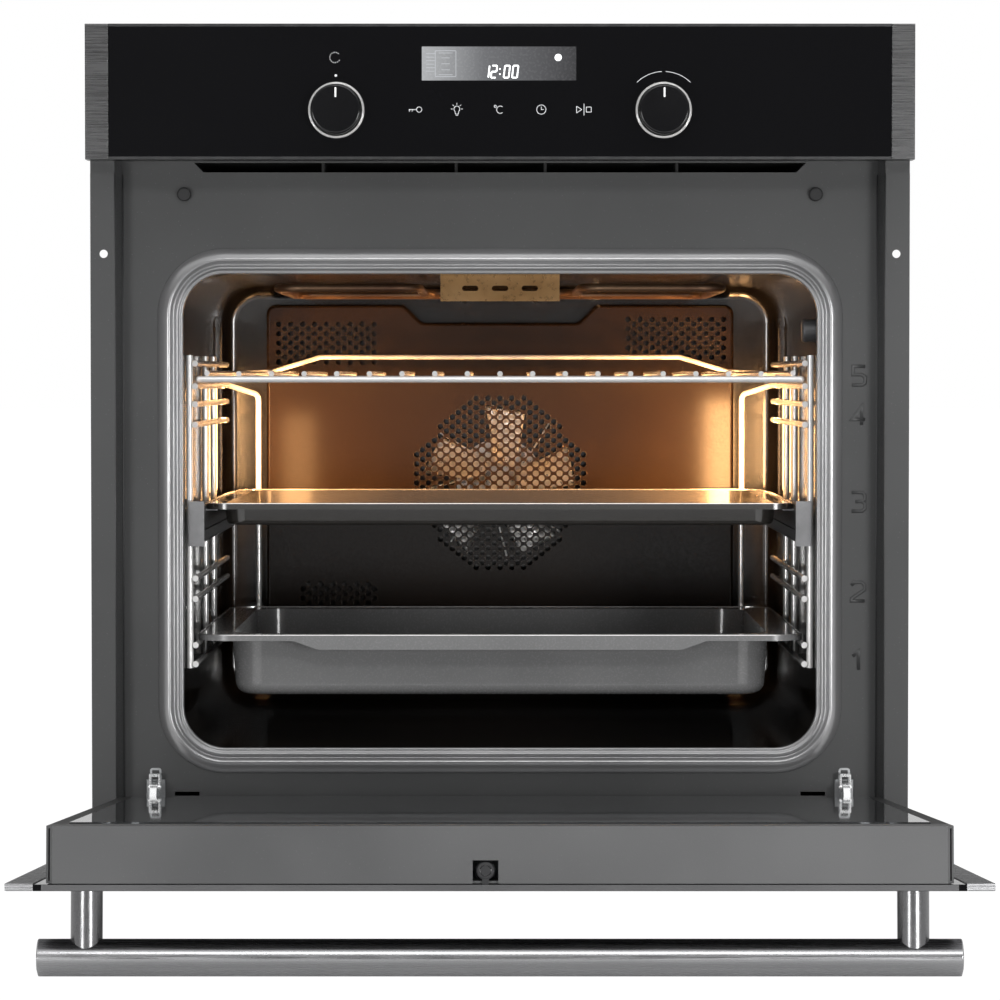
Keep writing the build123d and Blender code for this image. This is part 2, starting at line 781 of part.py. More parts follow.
def dish(width, front_y, back_y, rim_z, depth, border, corner, wall, slope, bottom_bend):
    """A sheet dish: a flat rim with a turned-down edge, and a sunken body with sloping walls."""
    mid_y = (front_y + back_y) / 2
    length = back_y - front_y
    body_width = width - 2 * border
    body_length = length - 2 * border
    outside = basin(body_width, body_length, mid_y, rim_z, depth, corner, slope, bottom_bend)
    inside = basin(body_width - 2 * wall, body_length - 2 * wall, mid_y, rim_z, depth - wall,
                   corner - wall, slope, bottom_bend - wall)
    with BuildPart() as vessel:
        with BuildSketch(Plane.XY.offset(rim_z)):
            with Locations((0, mid_y)):
                RectangleRounded(width, length, corner)
        extrude(amount=-rim_height)
        with BuildSketch(Plane.XY.offset(rim_z - wall)):
            with Locations((0, mid_y)):
                RectangleRounded(width - 2 * wall, length - 2 * wall, corner - wall)
        extrude(amount=-rim_height, mode=Mode.SUBTRACT)
        add(outside)
        add(inside, mode=Mode.SUBTRACT)
    return vessel


baking_tray = dish(tray_width, tray_front_y, tray_back_y, tray_rim_z, tray_height,
                   tray_border, tray_corner, sheet, tray_slope, tray_bottom_bend)
pieces["baking_tray"] = baking_tray

pan_shell = dish(pan_width, pan_front_y, pan_back_y, pan_rim_z, pan_depth,
                 pan_border, pan_corner, sheet, pan_slope, pan_bottom_bend)
with BuildPart() as deep_pan:
    add(pan_shell.part)
    grip_half = pan_grip_width / 2
    with BuildSketch(front_plane(pan_front_y + sheet)):
        Polygon(
            (-grip_half - pan_grip_slope, pan_rim_z - rim_height / 2),
            (-grip_half, pan_rim_z - pan_grip_drop),
            (grip_half, pan_rim_z - pan_grip_drop),
            (grip_half + pan_grip_slope, pan_rim_z - rim_height / 2),
            align=None,
        )
    extrude(amount=sheet)
pieces["deep_pan"] = deep_pan

guard_side_x = shelf_half - guard_inset
guard_wire = bent_wire(
    [
        (-guard_side_x, shelf_front_y, shelf_bar_z + 4.5),
        (-guard_side_x, shelf_back_y - 8, shelf_bar_z + 4.5),
        (-guard_foot_half_width, shelf_back_y - 2, shelf_bar_z + 6),
        (-guard_half_width, shelf_back_y - 2, shelf_bar_z + guard_rise),
        (guard_half_width, shelf_back_y - 2, shelf_bar_z + guard_rise),
        (guard_foot_half_width, shelf_back_y - 2, shelf_bar_z + 6),
        (guard_side_x, shelf_back_y - 8, shelf_bar_z + 4.5),
        (guard_side_x, shelf_front_y, shelf_bar_z + 4.5),
    ],
    6,
    shelf_rod_radius,
)
with BuildPart() as wire_shelf:
    add(guard_wire)
    for bar_y in (shelf_front_y, shelf_back_y):
        rod((-shelf_half, bar_y, shelf_bar_z), (shelf_half, bar_y, shelf_bar_z), shelf_bar_radius)
    for side in (-1, 1):
        rod((side * shelf_half, shelf_front_y, shelf_bar_z), (side * shelf_half, shelf_back_y, shelf_bar_z),
            shelf_bar_radius)
        with Locations((side * shelf_half, shelf_front_y, shelf_bar_z),
                       (side * shelf_half, shelf_back_y, shelf_bar_z)):
            Sphere(shelf_bar_radius)
    rod((-shelf_half, (shelf_front_y + shelf_back_y) / 2, shelf_bar_z),
        (shelf_half, (shelf_front_y + shelf_back_y) / 2, shelf_bar_z), shelf_bar_radius)
    rod_z = shelf_bar_z + shelf_bar_radius + shelf_rod_radius - rack_weld
    for rod_index in range(shelf_rods):
        rod_x = (rod_index - (shelf_rods - 1) / 2) * shelf_rod_pitch
        rod((rod_x, shelf_front_y - 1.5, rod_z), (rod_x, shelf_back_y + 1.5, rod_z), shelf_rod_radius)
pieces["wire_shelf"] = wire_shelf

# ======================================================================
# Control panel
# ======================================================================

with BuildPart() as control_panel_glass:
    block(-panel_glass_half, panel_glass_half, panel_front_y, panel_glass_back_y,
          panel_bottom_z + trim_height, front_height - trim_height)
    for side in (-1, 1):
        rod((side * knob_x, panel_front_y - 1, knob_z), (side * knob_x, panel_glass_back_y + 1, knob_z),
            knob_hole_radius, Mode.SUBTRACT)
pieces["control_panel_glass"] = control_panel_glass

with BuildPart() as panel_end_caps:
    block(panel_glass_half, front_half, panel_front_y, -flange_proud, panel_bottom_z, front_height)
    fillet(panel_end_caps.faces().sort_by(Axis.Y)[0].edges(), 0.8)
    block(panel_glass_half - 1, front_half - cap_wall, panel_front_y + cap_wall, 0,
          panel_bottom_z + cap_wall, front_height - cap_wall, Mode.SUBTRACT)
    mirror(about=Plane.YZ)
pieces["panel_end_caps"] = panel_end_caps

with BuildPart() as panel_trims:
    for strip_z in (panel_bottom_z, front_height - trim_height):
        block(-panel_glass_half, panel_glass_half, panel_front_y, -flange_proud,
              strip_z, strip_z + trim_height)
pieces["panel_trims"] = panel_trims

carrier_half = carrier_width / 2
carrier_top_z = case_height - 1
with BuildPart() as panel_carrier:
    block(-carrier_half, carrier_half, panel_glass_back_y, facia_y,
          panel_bottom_z + trim_height, carrier_top_z)
    block(-carrier_half + carrier_wall, carrier_half - carrier_wall,
          panel_glass_back_y + carrier_wall, facia_y,
          panel_bottom_z + trim_height + carrier_wall, carrier_top_z - carrier_wall, Mode.SUBTRACT)
    for side in (-1, 1):
        rod((side * knob_x, panel_glass_back_y - 1, knob_z), (side * knob_x, panel_glass_back_y + 6, knob_z),
            knob_hole_radius + 0.5, Mode.SUBTRACT)
    block(display_x - display_width / 2, display_x + display_width / 2, panel_glass_back_y - 1,
          panel_glass_back_y + 5,
          display_z - display_height / 2, display_z + display_height / 2, Mode.SUBTRACT)
pieces["panel_carrier"] = panel_carrier

with BuildPart() as display_module:
    block(display_x - display_width / 2 + 0.3, display_x + display_width / 2 - 0.3, panel_glass_back_y,
          panel_glass_back_y + display_depth,
          display_z - display_height / 2 + 0.3, display_z + display_height / 2 - 0.3)
pieces["display_module"] = display_module

with BuildPart() as control_board:
    board_z = (panel_bottom_z + carrier_top_z) / 2
    block(-board_width / 2, board_width / 2, board_y, facia_y,
          board_z - board_height / 2, board_z + board_height / 2)
    for side in (-1, 1):
        switch_x = side * knob_x
        rod((switch_x, switch_front_y, knob_z), (switch_x, board_y, knob_z), switch_radius)
        rod((switch_x, switch_front_y - 1, knob_z), (switch_x, switch_bore_back_y, knob_z),
            slider_radius + bore_gap, Mode.SUBTRACT)
pieces["control_board"] = control_board

with BuildPart() as knob_bezels:
    with BuildSketch(front_plane(panel_front_y)):
        with Locations((-knob_x, knob_z), (knob_x, knob_z)):
            Circle(knob_hole_radius + bezel_width)
            Circle(knob_hole_radius, mode=Mode.SUBTRACT)
    extrude(amount=bezel_proud)
    for ring_face in knob_bezels.faces().filter_by(Axis.Y).group_by(Axis.Y)[0]:
        fillet(ring_face.outer_wire().edges(), 0.7)
pieces["knob_bezels"] = knob_bezels

for name, side in (("function_knob", -1), ("temperature_knob", 1)):
    centre_x = side * knob_x
    with BuildPart() as knob:
        rod((centre_x, knob_front_y, knob_z), (centre_x, knob_back_y, knob_z), knob_radius)
        fillet(knob.faces().sort_by(Axis.Y)[0].edges(), 1.6)
        block(centre_x - 0.7, centre_x + 0.7, knob_front_y - 1, knob_front_y + 0.6,
              knob_z + knob_radius * 0.45, knob_z + knob_radius * 0.86, Mode.SUBTRACT)
        rod((centre_x, knob_back_y - 1, knob_z), (centre_x, knob_back_y + slider_length, knob_z),
            spindle_radius)
    pieces[name] = knob
    with BuildPart() as slider:
        rod((centre_x, knob_back_y + running_gap, knob_z), (centre_x, knob_back_y + slider_length, knob_z),
            slider_radius)
        rod((centre_x, knob_back_y - 1, knob_z), (centre_x, knob_back_y + slider_length + 1, knob_z),
            spindle_radius + bore_gap, Mode.SUBTRACT)
    pieces[name + "_slider"] = slider

# ======================================================================
# Cooling air
# ======================================================================

duct_top_z = outlet_z + outlet_height + thin_sheet
with BuildPart() as air_duct:
    block(-outlet_width / 2 - thin_sheet, outlet_width / 2 + thin_sheet, facia_back_y, duct_back_y,
          blower_bottom_z, duct_top_z)
    block(-outlet_width / 2, outlet_width / 2, facia_back_y - 1, duct_back_y + 1,
          outlet_z, outlet_z + outlet_height, Mode.SUBTRACT)
    for divider_x in outlet_posts:
        block(divider_x - 1, divider_x + 1, facia_back_y + 2, facia_back_y + 40,
              outlet_z, outlet_z + outlet_height)
pieces["air_duct"] = air_duct

blower_top_z = blower_bottom_z + blower_height
with BuildPart() as blower_housing:
    rod((0, blower_y, blower_bottom_z), (0, blower_y, blower_top_z), blower_radius)
    block(-blower_radius, blower_radius, duct_back_y, blower_y, blower_bottom_z, blower_top_z)
    rod((0, blower_y, outlet_z), (0, blower_y, blower_top_z - sheet), blower_radius - sheet, Mode.SUBTRACT)
    block(-blower_radius + sheet, blower_radius - sheet, duct_back_y + sheet, blower_y, outlet_z,
          blower_top_z - sheet, Mode.SUBTRACT)
    block(-blower_radius + sheet, blower_radius - sheet, duct_back_y - 1, duct_back_y + 3, outlet_z,
          outlet_z + outlet_height, Mode.SUBTRACT)
    rod((0, blower_y, blower_bottom_z - 1), (0, blower_y, outlet_z + 1), impeller_radius - 16, Mode.SUBTRACT)
    rod((0, blower_y, blower_top_z - 3), (0, blower_y, blower_top_z + 1), blower_shaft_radius + slot_gap,
        Mode.SUBTRACT)
pieces["blower_housing"] = blower_housing

impeller_top_z = blower_top_z - sheet - 8
with BuildPart() as blower_impeller:
    rod((0, blower_y, impeller_top_z - 2), (0, blower_y, impeller_top_z), impeller_radius)
    rod((0, blower_y, impeller_top_z - 18), (0, blower_y, impeller_top_z), 8)
    with BuildSketch(Plane.XY.offset(impeller_top_z - impeller_height)):
        with Locations((0, blower_y)):
            with PolarLocations(impeller_radius - 8, impeller_blades):
                Rectangle(12, 1.4, rotation=35)
    extrude(amount=impeller_height - 1)
    rod((0, blower_y, impeller_top_z - 1), (0, blower_y, blower_top_z + 12), blower_shaft_radius)
pieces["blower_impeller"] = blower_impeller

with BuildPart() as blower_motor:
    rod((0, blower_y, blower_top_z), (0, blower_y, blower_top_z + 24), blower_motor_radius)
    rod((0, blower_y, blower_top_z - 1), (0, blower_y, blower_top_z + 18), blower_shaft_radius + bore_gap,
        Mode.SUBTRACT)
    fillet(blower_motor.faces().sort_by(Axis.Z)[-1].edges(), 3)
pieces["blower_motor"] = blower_motor

# ======================================================================
# Hinges: the arms hook into the body, the cases sit in the door
# ======================================================================

with BuildPart() as hinge_arms:
    with BuildSketch(side_plane(arm_x - arm_thickness / 2)):
        with BuildSketch() as arm_link:
            with Locations((hinge_y, hinge_z)):
                Circle(arm_eye_radius)
            with Locations((lever_y - 10, (arm_top_z + arm_bottom_z) / 2)):
                Circle(4.5)
            make_hull()
        with Locations(((lever_y - 10 + arm_reach_y) / 2, (arm_top_z + arm_bottom_z) / 2)):
            Rectangle(arm_reach_y - lever_y + 10, arm_top_z - arm_bottom_z)
        with Locations((facia_back_y + 16, arm_bottom_z)):
            Rectangle(10, 7, mode=Mode.SUBTRACT)
        with Locations((hinge_y, hinge_z)):
            Circle(pin_radius + bore_gap, mode=Mode.SUBTRACT)
    extrude(amount=arm_thickness)
    rod((arm_x - arm_thickness / 2 - lever_wall - 1, lever_y, arm_top_z - 3),
        (arm_x + arm_thickness / 2 + lever_wall + 1, lever_y, arm_top_z - 3), lever_pin_radius)
    mirror(about=Plane.YZ)
pieces["hinge_arms"] = hinge_arms

with BuildPart() as hinge_receivers:
    block(arm_x - receiver_width / 2, arm_x + receiver_width / 2, facia_back_y, facia_back_y + receiver_depth,
          arm_bottom_z - 8, arm_top_z + 8)
    block(arm_x - arm_thickness / 2 - 0.5, arm_x + arm_thickness / 2 + 0.5, facia_back_y - 1,
          facia_back_y + receiver_depth + 1, arm_bottom_z - 0.5, arm_top_z + 0.5, Mode.SUBTRACT)
    rod((arm_x - receiver_width / 2, facia_back_y + 16, arm_bottom_z + 1.5),
        (arm_x + receiver_width / 2, facia_back_y + 16, arm_bottom_z + 1.5), 1.5)
    mirror(about=Plane.YZ)
pieces["hinge_receivers"] = hinge_receivers

for name, side in (("left_catch_lever", -1), ("right_catch_lever", 1)):
    lever_x = side * arm_x
    pin_z = arm_top_z - 3
    lever_half = arm_thickness / 2 + 0.3 + lever_wall
    with BuildPart() as catch_lever:
        for cheek in (-1, 1):
            inner_x = lever_x + cheek * (lever_half - lever_wall)
            outer_x = lever_x + cheek * lever_half
            rod((inner_x, lever_y, pin_z), (outer_x, lever_y, pin_z), 3.4)
            block(min(inner_x, outer_x), max(inner_x, outer_x), lever_y - 2.5, lever_y + 2.5,
                  pin_z, pin_z + lever_length + 2)
        block(lever_x - lever_half, lever_x + lever_half, lever_y - 2.5, lever_y + 2.5,
              pin_z + lever_length, pin_z + lever_length + 2)
        rod((lever_x - lever_half - 1, lever_y, pin_z), (lever_x + lever_half + 1, lever_y, pin_z),
            lever_pin_radius + bore_gap, Mode.SUBTRACT)
    pieces[name] = catch_lever

with BuildPart() as door_buffers:
    rod((buffer_x, facia_y - 5.3, buffer_z), (buffer_x, facia_y, buffer_z), buffer_radius)
    fillet(door_buffers.faces().sort_by(Axis.Y)[0].edges(), 1.5)
    rod((buffer_x, facia_y, buffer_z), (buffer_x, facia_back_y + 3, buffer_z), buffer_radius / 2 - 0.1)
    mirror(about=Plane.YZ)
pieces["door_buffers"] = door_buffers

with BuildPart() as case_screws:
    for screw_z in (40, case_height - 40):
        for screw_x in (-case_half + 20, case_half - 20):
            rod((screw_x, case_depth, screw_z), (screw_x, case_depth + screw_head, screw_z),
                screw_head_radius)
    fillet(case_screws.faces().filter_by(Axis.Y).group_by(Axis.Y)[-1].edges(), 0.8)
pieces["case_screws"] = case_screws

# ======================================================================
# Door, in its shut position
# ======================================================================

with BuildPart() as door_outer_glass:
    block(-door_glass_half, door_glass_half, door_front_y, door_front_y + door_glass,
          door_bottom_z, door_top_z)
door_pieces["door_outer_glass"] = door_outer_glass

with BuildPart() as door_side_trims:
    block(door_glass_half, door_half, door_front_y, door_shell_front_y, door_bottom_z, door_top_z)
    fillet(door_side_trims.faces().sort_by(Axis.Y)[0].edges(), 0.8)
    mirror(about=Plane.YZ)
door_pieces["door_side_trims"] = door_side_trims

channel_bottom_z = door_top_z - door_channel_height
with BuildPart() as door_top_channel:
    block(-door_frame_half, door_frame_half, door_shell_front_y, door_shell_back_y,
          channel_bottom_z, door_top_z)
    top_corners = door_top_channel.edges().filter_by(Axis.Y).group_by(Axis.Z)[-1]
    chamfer(top_corners, 4)
    block(-door_frame_half + door_profile_wall, door_frame_half - door_profile_wall,
          door_shell_front_y + door_profile_wall, door_shell_back_y - door_profile_wall,
          channel_bottom_z - 1, door_top_z - door_profile_wall, Mode.SUBTRACT)
    block(catch_x - catch_recess_width / 2, catch_x + catch_recess_width / 2, door_shell_front_y,
          door_shell_front_y + catch_recess_depth, door_top_z - 3, door_top_z + 1, Mode.SUBTRACT)
door_pieces["door_top_channel"] = door_top_channel

with BuildPart() as door_catch:
    catch_floor = door_top_z - catch_length
    rod((catch_x, catch_y, catch_floor), (catch_x, catch_y, door_top_z - 0.5), catch_radius)
    fillet(door_catch.faces().sort_by(Axis.Z)[-1].edges(), 1.5)
    block(catch_x - 2, catch_x + 2, door_front_y + door_glass, catch_y, door_top_z - 2.8, door_top_z - 0.8)
door_pieces["door_catch"] = door_catch

with BuildPart() as door_side_profiles:
    block(door_inner_half, door_frame_half, door_shell_front_y, door_shell_back_y,
          bottom_profile_top_z, channel_bottom_z)
    block(door_inner_half - 1, door_frame_half - door_profile_wall, door_shell_front_y + door_profile_wall,
          door_shell_back_y - door_profile_wall,
          bottom_profile_top_z - 1, channel_bottom_z + 1, Mode.SUBTRACT)
    mirror(about=Plane.YZ)
door_pieces["door_side_profiles"] = door_side_profiles

profile_half = arm_x - case_half_width - 3
with BuildPart() as door_bottom_profile:
    block(-profile_half, profile_half, door_shell_front_y, door_shell_back_y - 4, door_bottom_z + 8,
          bottom_profile_top_z)
    block(-profile_half - 1, profile_half + 1, door_shell_front_y + door_profile_wall,
          door_shell_back_y - 4 - door_profile_wall, door_bottom_z + 8 + door_profile_wall,
          bottom_profile_top_z + 1, Mode.SUBTRACT)
door_pieces["door_bottom_profile"] = door_bottom_profile

with BuildPart() as door_inner_glass:
    with BuildSketch(front_plane(door_inner_y)):
        with Locations((0, (inner_glass_bottom_z + channel_bottom_z - 1) / 2)):
            Rectangle(2 * door_inner_half, channel_bottom_z - 1 - inner_glass_bottom_z)
        for side in (-1, 1):
            with Locations((side * arm_x, inner_glass_bottom_z)):
                Rectangle(2 * (door_inner_half - profile_half) + 2, 50, mode=Mode.SUBTRACT)
    extrude(amount=door_glass)
door_pieces["door_inner_glass"] = door_inner_glass

with BuildPart() as door_middle_glass:
    block(-middle_glass_half_width, middle_glass_half_width, middle_glass_y, middle_glass_y + door_glass,
          bottom_profile_top_z + 6, channel_bottom_z - 4)
door_pieces["door_middle_glass"] = door_middle_glass

with BuildPart() as hinge_cases:
    inner_cheek = arm_x - case_half_width
    outer_cheek = arm_x + case_half_width - case_wall
    for cheek_x in (inner_cheek, outer_cheek):
        block(cheek_x, cheek_x + case_wall, door_shell_front_y, 12, 16, hinge_case_top_z)
        block(cheek_x, cheek_x + case_wall, door_shell_front_y, hinge_y + 6, door_bottom_z + 2, 16)
    block(inner_cheek, outer_cheek + case_wall, door_shell_front_y, door_shell_front_y + case_wall,
          22, hinge_case_top_z)
    rod((inner_cheek - 1, hinge_y, hinge_z), (outer_cheek + case_wall + 1, hinge_y, hinge_z), pin_radius)
    rod((inner_cheek, -4, spring_top_z + 4), (outer_cheek + case_wall, -4, spring_top_z + 4), 2)
    rod((inner_cheek, -4, spring_bottom_z - 4), (outer_cheek + case_wall, -4, spring_bottom_z - 4), 2)
    mirror(about=Plane.YZ)
door_pieces["hinge_cases"] = hinge_cases

spring_pitch = spring_wire + 1.2
spring_turns = int((spring_top_z - spring_bottom_z) / spring_pitch)
with BuildPart() as hinge_springs:
    rod((arm_x, -4, spring_bottom_z - 2), (arm_x, -4, spring_top_z + 2), spring_radius - spring_wire)
    for turn in range(spring_turns):
        turn_z = spring_bottom_z + turn * spring_pitch
        rod((arm_x, -4, turn_z), (arm_x, -4, turn_z + spring_wire), spring_radius)
    mirror(about=Plane.YZ)
door_pieces["hinge_springs"] = hinge_springs

with BuildPart() as handle_bar:
    rod((-handle_length / 2, handle_y, handle_z), (handle_length / 2, handle_y, handle_z), handle_radius)
    fillet(handle_bar.faces().sort_by(Axis.X)[0].edges(), 0.8)
    fillet(handle_bar.faces().sort_by(Axis.X)[-1].edges(), 0.8)
    with Locations(Location((0, handle_y, handle_z), (-handle_flat_tilt, 0, 0))):
        with Locations((0, handle_flat - 2 * handle_radius, 0)):
            Box(2 * handle_length, 2 * handle_radius, 2 * handle_radius, mode=Mode.SUBTRACT)
door_pieces["handle_bar"] = handle_bar

with BuildPart() as handle_posts:
    rod((post_x, door_front_y, handle_z), (post_x, handle_y, handle_z), post_radius)
    rod((post_x - 20, handle_y, handle_z), (post_x + 20, handle_y, handle_z), handle_radius, Mode.SUBTRACT)
    mirror(about=Plane.YZ)
door_pieces["handle_posts"] = handle_posts

# ======================================================================
# Written files
# ======================================================================

for name, piece in pieces.items():
    piece.part.label = name
    export_step(piece.part, f"parts/{name}.step")

for name, piece in door_pieces.items():
    swung = piece.part.rotate(hinge_axis, open_angle)
    swung.label = name
    export_step(swung, f"parts/{name}.step")
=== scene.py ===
"""Looks of a built-in wall oven: enamelled front and cavity, black glass panel, open glass door.

All places are in metres in the frame of the CAD model: X right, Y back into the cabinet, Z up.
The helpers mm() and mm_points() turn the millimetres that the oven is drawn in into metres.
"""
import json
from math import cos, pi, radians, sin

import bpy
import numpy as np
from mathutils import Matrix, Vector


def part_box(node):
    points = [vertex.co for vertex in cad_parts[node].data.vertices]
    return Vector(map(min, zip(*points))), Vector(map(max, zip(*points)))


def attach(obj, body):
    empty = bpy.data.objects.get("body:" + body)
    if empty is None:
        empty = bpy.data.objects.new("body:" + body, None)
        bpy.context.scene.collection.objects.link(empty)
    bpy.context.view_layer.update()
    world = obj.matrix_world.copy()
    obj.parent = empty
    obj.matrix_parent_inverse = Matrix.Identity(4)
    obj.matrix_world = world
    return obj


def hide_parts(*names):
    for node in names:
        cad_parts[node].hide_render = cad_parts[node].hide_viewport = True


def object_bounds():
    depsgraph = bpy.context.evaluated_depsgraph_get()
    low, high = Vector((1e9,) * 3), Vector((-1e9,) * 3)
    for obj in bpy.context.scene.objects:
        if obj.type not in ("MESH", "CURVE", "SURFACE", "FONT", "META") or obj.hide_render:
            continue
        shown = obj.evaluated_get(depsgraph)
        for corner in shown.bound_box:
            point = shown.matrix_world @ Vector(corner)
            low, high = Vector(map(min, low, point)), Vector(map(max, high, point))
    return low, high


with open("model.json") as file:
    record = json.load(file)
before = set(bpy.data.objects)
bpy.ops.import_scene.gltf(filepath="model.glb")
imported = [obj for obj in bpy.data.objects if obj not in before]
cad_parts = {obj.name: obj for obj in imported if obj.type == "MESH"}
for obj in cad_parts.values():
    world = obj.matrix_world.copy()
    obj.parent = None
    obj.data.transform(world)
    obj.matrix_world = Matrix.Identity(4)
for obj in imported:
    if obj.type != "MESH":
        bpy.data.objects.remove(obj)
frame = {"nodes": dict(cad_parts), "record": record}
cad_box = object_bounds()
nodes = frame["nodes"]


def mm(*values):
    """Millimetres as metres: one number, or several as an array."""
    return values[0] / 1000.0 if len(values) == 1 else np.array(values) / 1000.0


def mm_points(points):
    """Points listed in millimetres, as an array in metres."""
    return mm(1.0) * np.array(points, float)


# ---- places taken from the CAD model
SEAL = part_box("door_seal")
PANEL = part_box("control_panel_glass")
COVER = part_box("fan_cover_plate")
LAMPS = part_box("lamp_covers")
FACIA_Y = SEAL[1].y
SEAL_BORDER = mm(19.0)
OPENING_HALF = mm(231.0)
OPENING_MID_Z = (SEAL[0].z + SEAL[1].z) / 2
OPENING_HALF_HEIGHT = (SEAL[1].z - SEAL[0].z) / 2 - SEAL_BORDER
OPENING_CORNER = mm(30.0)
PANEL_FACE_Y = PANEL[0].y
KNOB_CENTRE_MM = (117.3, 533.2)
KNOB_X, KNOB_Z = mm(*KNOB_CENTRE_MM)
HINGE = mm(0.0, -12.0, 10.0)
OPEN_ANGLE = radians(86.0)

# ======================================================================
# Surfaces
# ======================================================================


def quads(rows, columns, wrap_rows, wrap_columns):
    """Corner indices of the cells of a rows x columns grid, optionally joined end to end."""
    r = np.arange(rows if wrap_rows else rows - 1)
    c = np.arange(columns if wrap_columns else columns - 1)
    r, c = (a.ravel() for a in np.meshgrid(r, c, indexing="ij"))
    r2, c2 = (r + 1) % rows, (c + 1) % columns
    return np.stack([r * columns + c, r2 * columns + c, r2 * columns + c2, r * columns + c2], 1)


def add_piece(name, shells, material, body, smooth=True):
    """One mesh made of shells, each (points n x 3, faces as lists of corners), riding on a body."""
    points, faces, start = [], [], 0
    for shell_points, shell_faces in shells:
        points.append(np.asarray(shell_points, float).reshape(-1, 3))
        faces += [[int(i) + start for i in face] for face in shell_faces]
        start += len(points[-1])
    mesh = bpy.data.meshes.new(name)
    mesh.from_pydata(np.concatenate(points).tolist(), [], faces)
    mesh.validate()
    mesh.update()
    mesh.polygons.foreach_set("use_smooth", [smooth] * len(mesh.polygons))
    mesh.materials.append(material)
    piece = bpy.data.objects.new(name, mesh)
    bpy.context.scene.collection.objects.link(piece)
    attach(piece, body)
    return piece


FRONT = (np.array([1.0, 0, 0]), np.array([0, 0, 1.0]), np.array([0, -1.0, 0]))


def carried(path, profile, origin, axes=FRONT, closed=False):
    """A profile carried along a flat path.

    Path point (s, t) and profile point (u, v) give origin + a (s + p u) + b (t + q u) + n v, where
    (p, q) is the path's right-hand normal, mitred at corners, and n leaves the surface.
    """
    path, profile = np.asarray(path, float), np.asarray(profile, float)
    a, b, n = axes
    flip = np.dot(np.cross(a, b), n) > 0
    if closed:
        ahead, behind = np.roll(path, -1, 0) - path, path - np.roll(path, 1, 0)
    else:
        step = np.diff(path, axis=0)
        ahead, behind = np.vstack([step, step[-1:]]), np.vstack([step[:1], step])
    ahead = ahead / np.linalg.norm(ahead, axis=1, keepdims=True)
    behind = behind / np.linalg.norm(behind, axis=1, keepdims=True)
    middle = ahead + behind
    middle = middle / np.linalg.norm(middle, axis=1, keepdims=True)
    stretch = 1 / np.clip((middle * ahead).sum(1), 0.35, 1)
    normal = np.stack([middle[:, 1], -middle[:, 0]], 1) * stretch[:, None]
    s = path[:, None, 0] + normal[:, None, 0] * profile[None, :, 0]
    t = path[:, None, 1] + normal[:, None, 1] * profile[None, :, 0]
    v = np.broadcast_to(profile[None, :, 1], s.shape)
    points = np.asarray(origin, float) + s[..., None] * a + t[..., None] * b + v[..., None] * n
    rows, columns = s.shape
    faces = quads(rows, columns, closed, True)
    faces = (faces[:, ::-1] if flip else faces).tolist()
    if not closed:
        first, last = list(range(columns)), list(range((rows - 1) * columns, rows * columns))
        faces += [first[::-1] if flip else first, last if flip else last[::-1]]
    return points, faces


def turned(profile, centre, axis=(0, -1, 0), sides=64):
    """A profile of (radius, height) points turned about an axis through centre.

    A profile that starts and ends on the axis gives a solid with one point at each pole; any other
    profile is joined end to end and gives a ring.
    """
    profile = np.asarray(profile, float)
    n = np.array(axis, float) / np.linalg.norm(axis)
    a = np.cross(n, [0, 0, 1.0]) if abs(n[2]) < 0.9 else np.array([1.0, 0, 0])
    a = a / np.linalg.norm(a)
    b = np.cross(n, a)
    turn = np.linspace(0, 2 * pi, sides, endpoint=False)
    ring = np.cos(turn)[:, None] * a + np.sin(turn)[:, None] * b
    radius, height = profile[None, :, 0, None], profile[None, :, 1, None]
    points = np.asarray(centre, float) + radius * ring[:, None] + height * n
    poles = profile[:, 0] == 0
    index = np.arange(points.size // 3).reshape(sides, -1)
    index[:, poles] = index[:1, poles]
    faces = index.ravel()[quads(sides, len(profile), True, not poles.any())]
    used, faces = np.unique(faces, return_inverse=True)
    faces = [list(dict.fromkeys(face)) for face in faces.reshape(-1, 4).tolist()]
    return points.reshape(-1, 3)[used], faces


def ring_path(half_width, half_height, corner, steps=10):
    """A rounded rectangle, anticlockwise, as a closed path of (s, t)."""
    turn = np.linspace(0, pi / 2, steps)
    parts = []
    for quarter, (x, z) in enumerate([(1, 1), (-1, 1), (-1, -1), (1, -1)]):
        angle = turn + quarter * pi / 2
        parts.append(np.stack([x * (half_width - corner) + corner * np.cos(angle),
                               z * (half_height - corner) + corner * np.sin(angle)], 1))
    return np.concatenate(parts)


def arc_path(centre, radius, start, end, steps=24):
    """Points on a circle from angle start to end, in degrees anticlockwise from the right."""
    turn = np.radians(np.linspace(start, end, steps))
    return np.stack([centre[0] + radius * np.cos(turn), centre[1] + radius * np.sin(turn)], 1)


def flat_line(width, height):
    """Rectangular section of a printed or raised line."""
    return [(-width / 2, 0), (-width / 2, height), (width / 2, height), (width / 2, 0)]


def round_bead(width, height, steps=9):
    """Half-round section: u = -w/2 cos a, v = h sin a - h/10, so its flat lies below the surface."""
    a = np.linspace(0, pi, steps)
    return np.stack([-width / 2 * np.cos(a), height * np.sin(a) - height * 0.1], 1)


def swung(points):
    """Points given for the shut door, turned open about the hinge line."""
    p = np.asarray(points, float).reshape(-1, 3) - HINGE
    c, s = cos(OPEN_ANGLE), sin(OPEN_ANGLE)
    return np.stack([p[:, 0], p[:, 1] * c - p[:, 2] * s, p[:, 1] * s + p[:, 2] * c], 1) + HINGE


# ======================================================================
# Materials
# ======================================================================


def colour_mix(tree, blend="MIX"):
    """A new node that mixes two colours."""
    node = tree.nodes.new("ShaderNodeMix")
    node.data_type = "RGBA"
    node.blend_type = blend
    return node


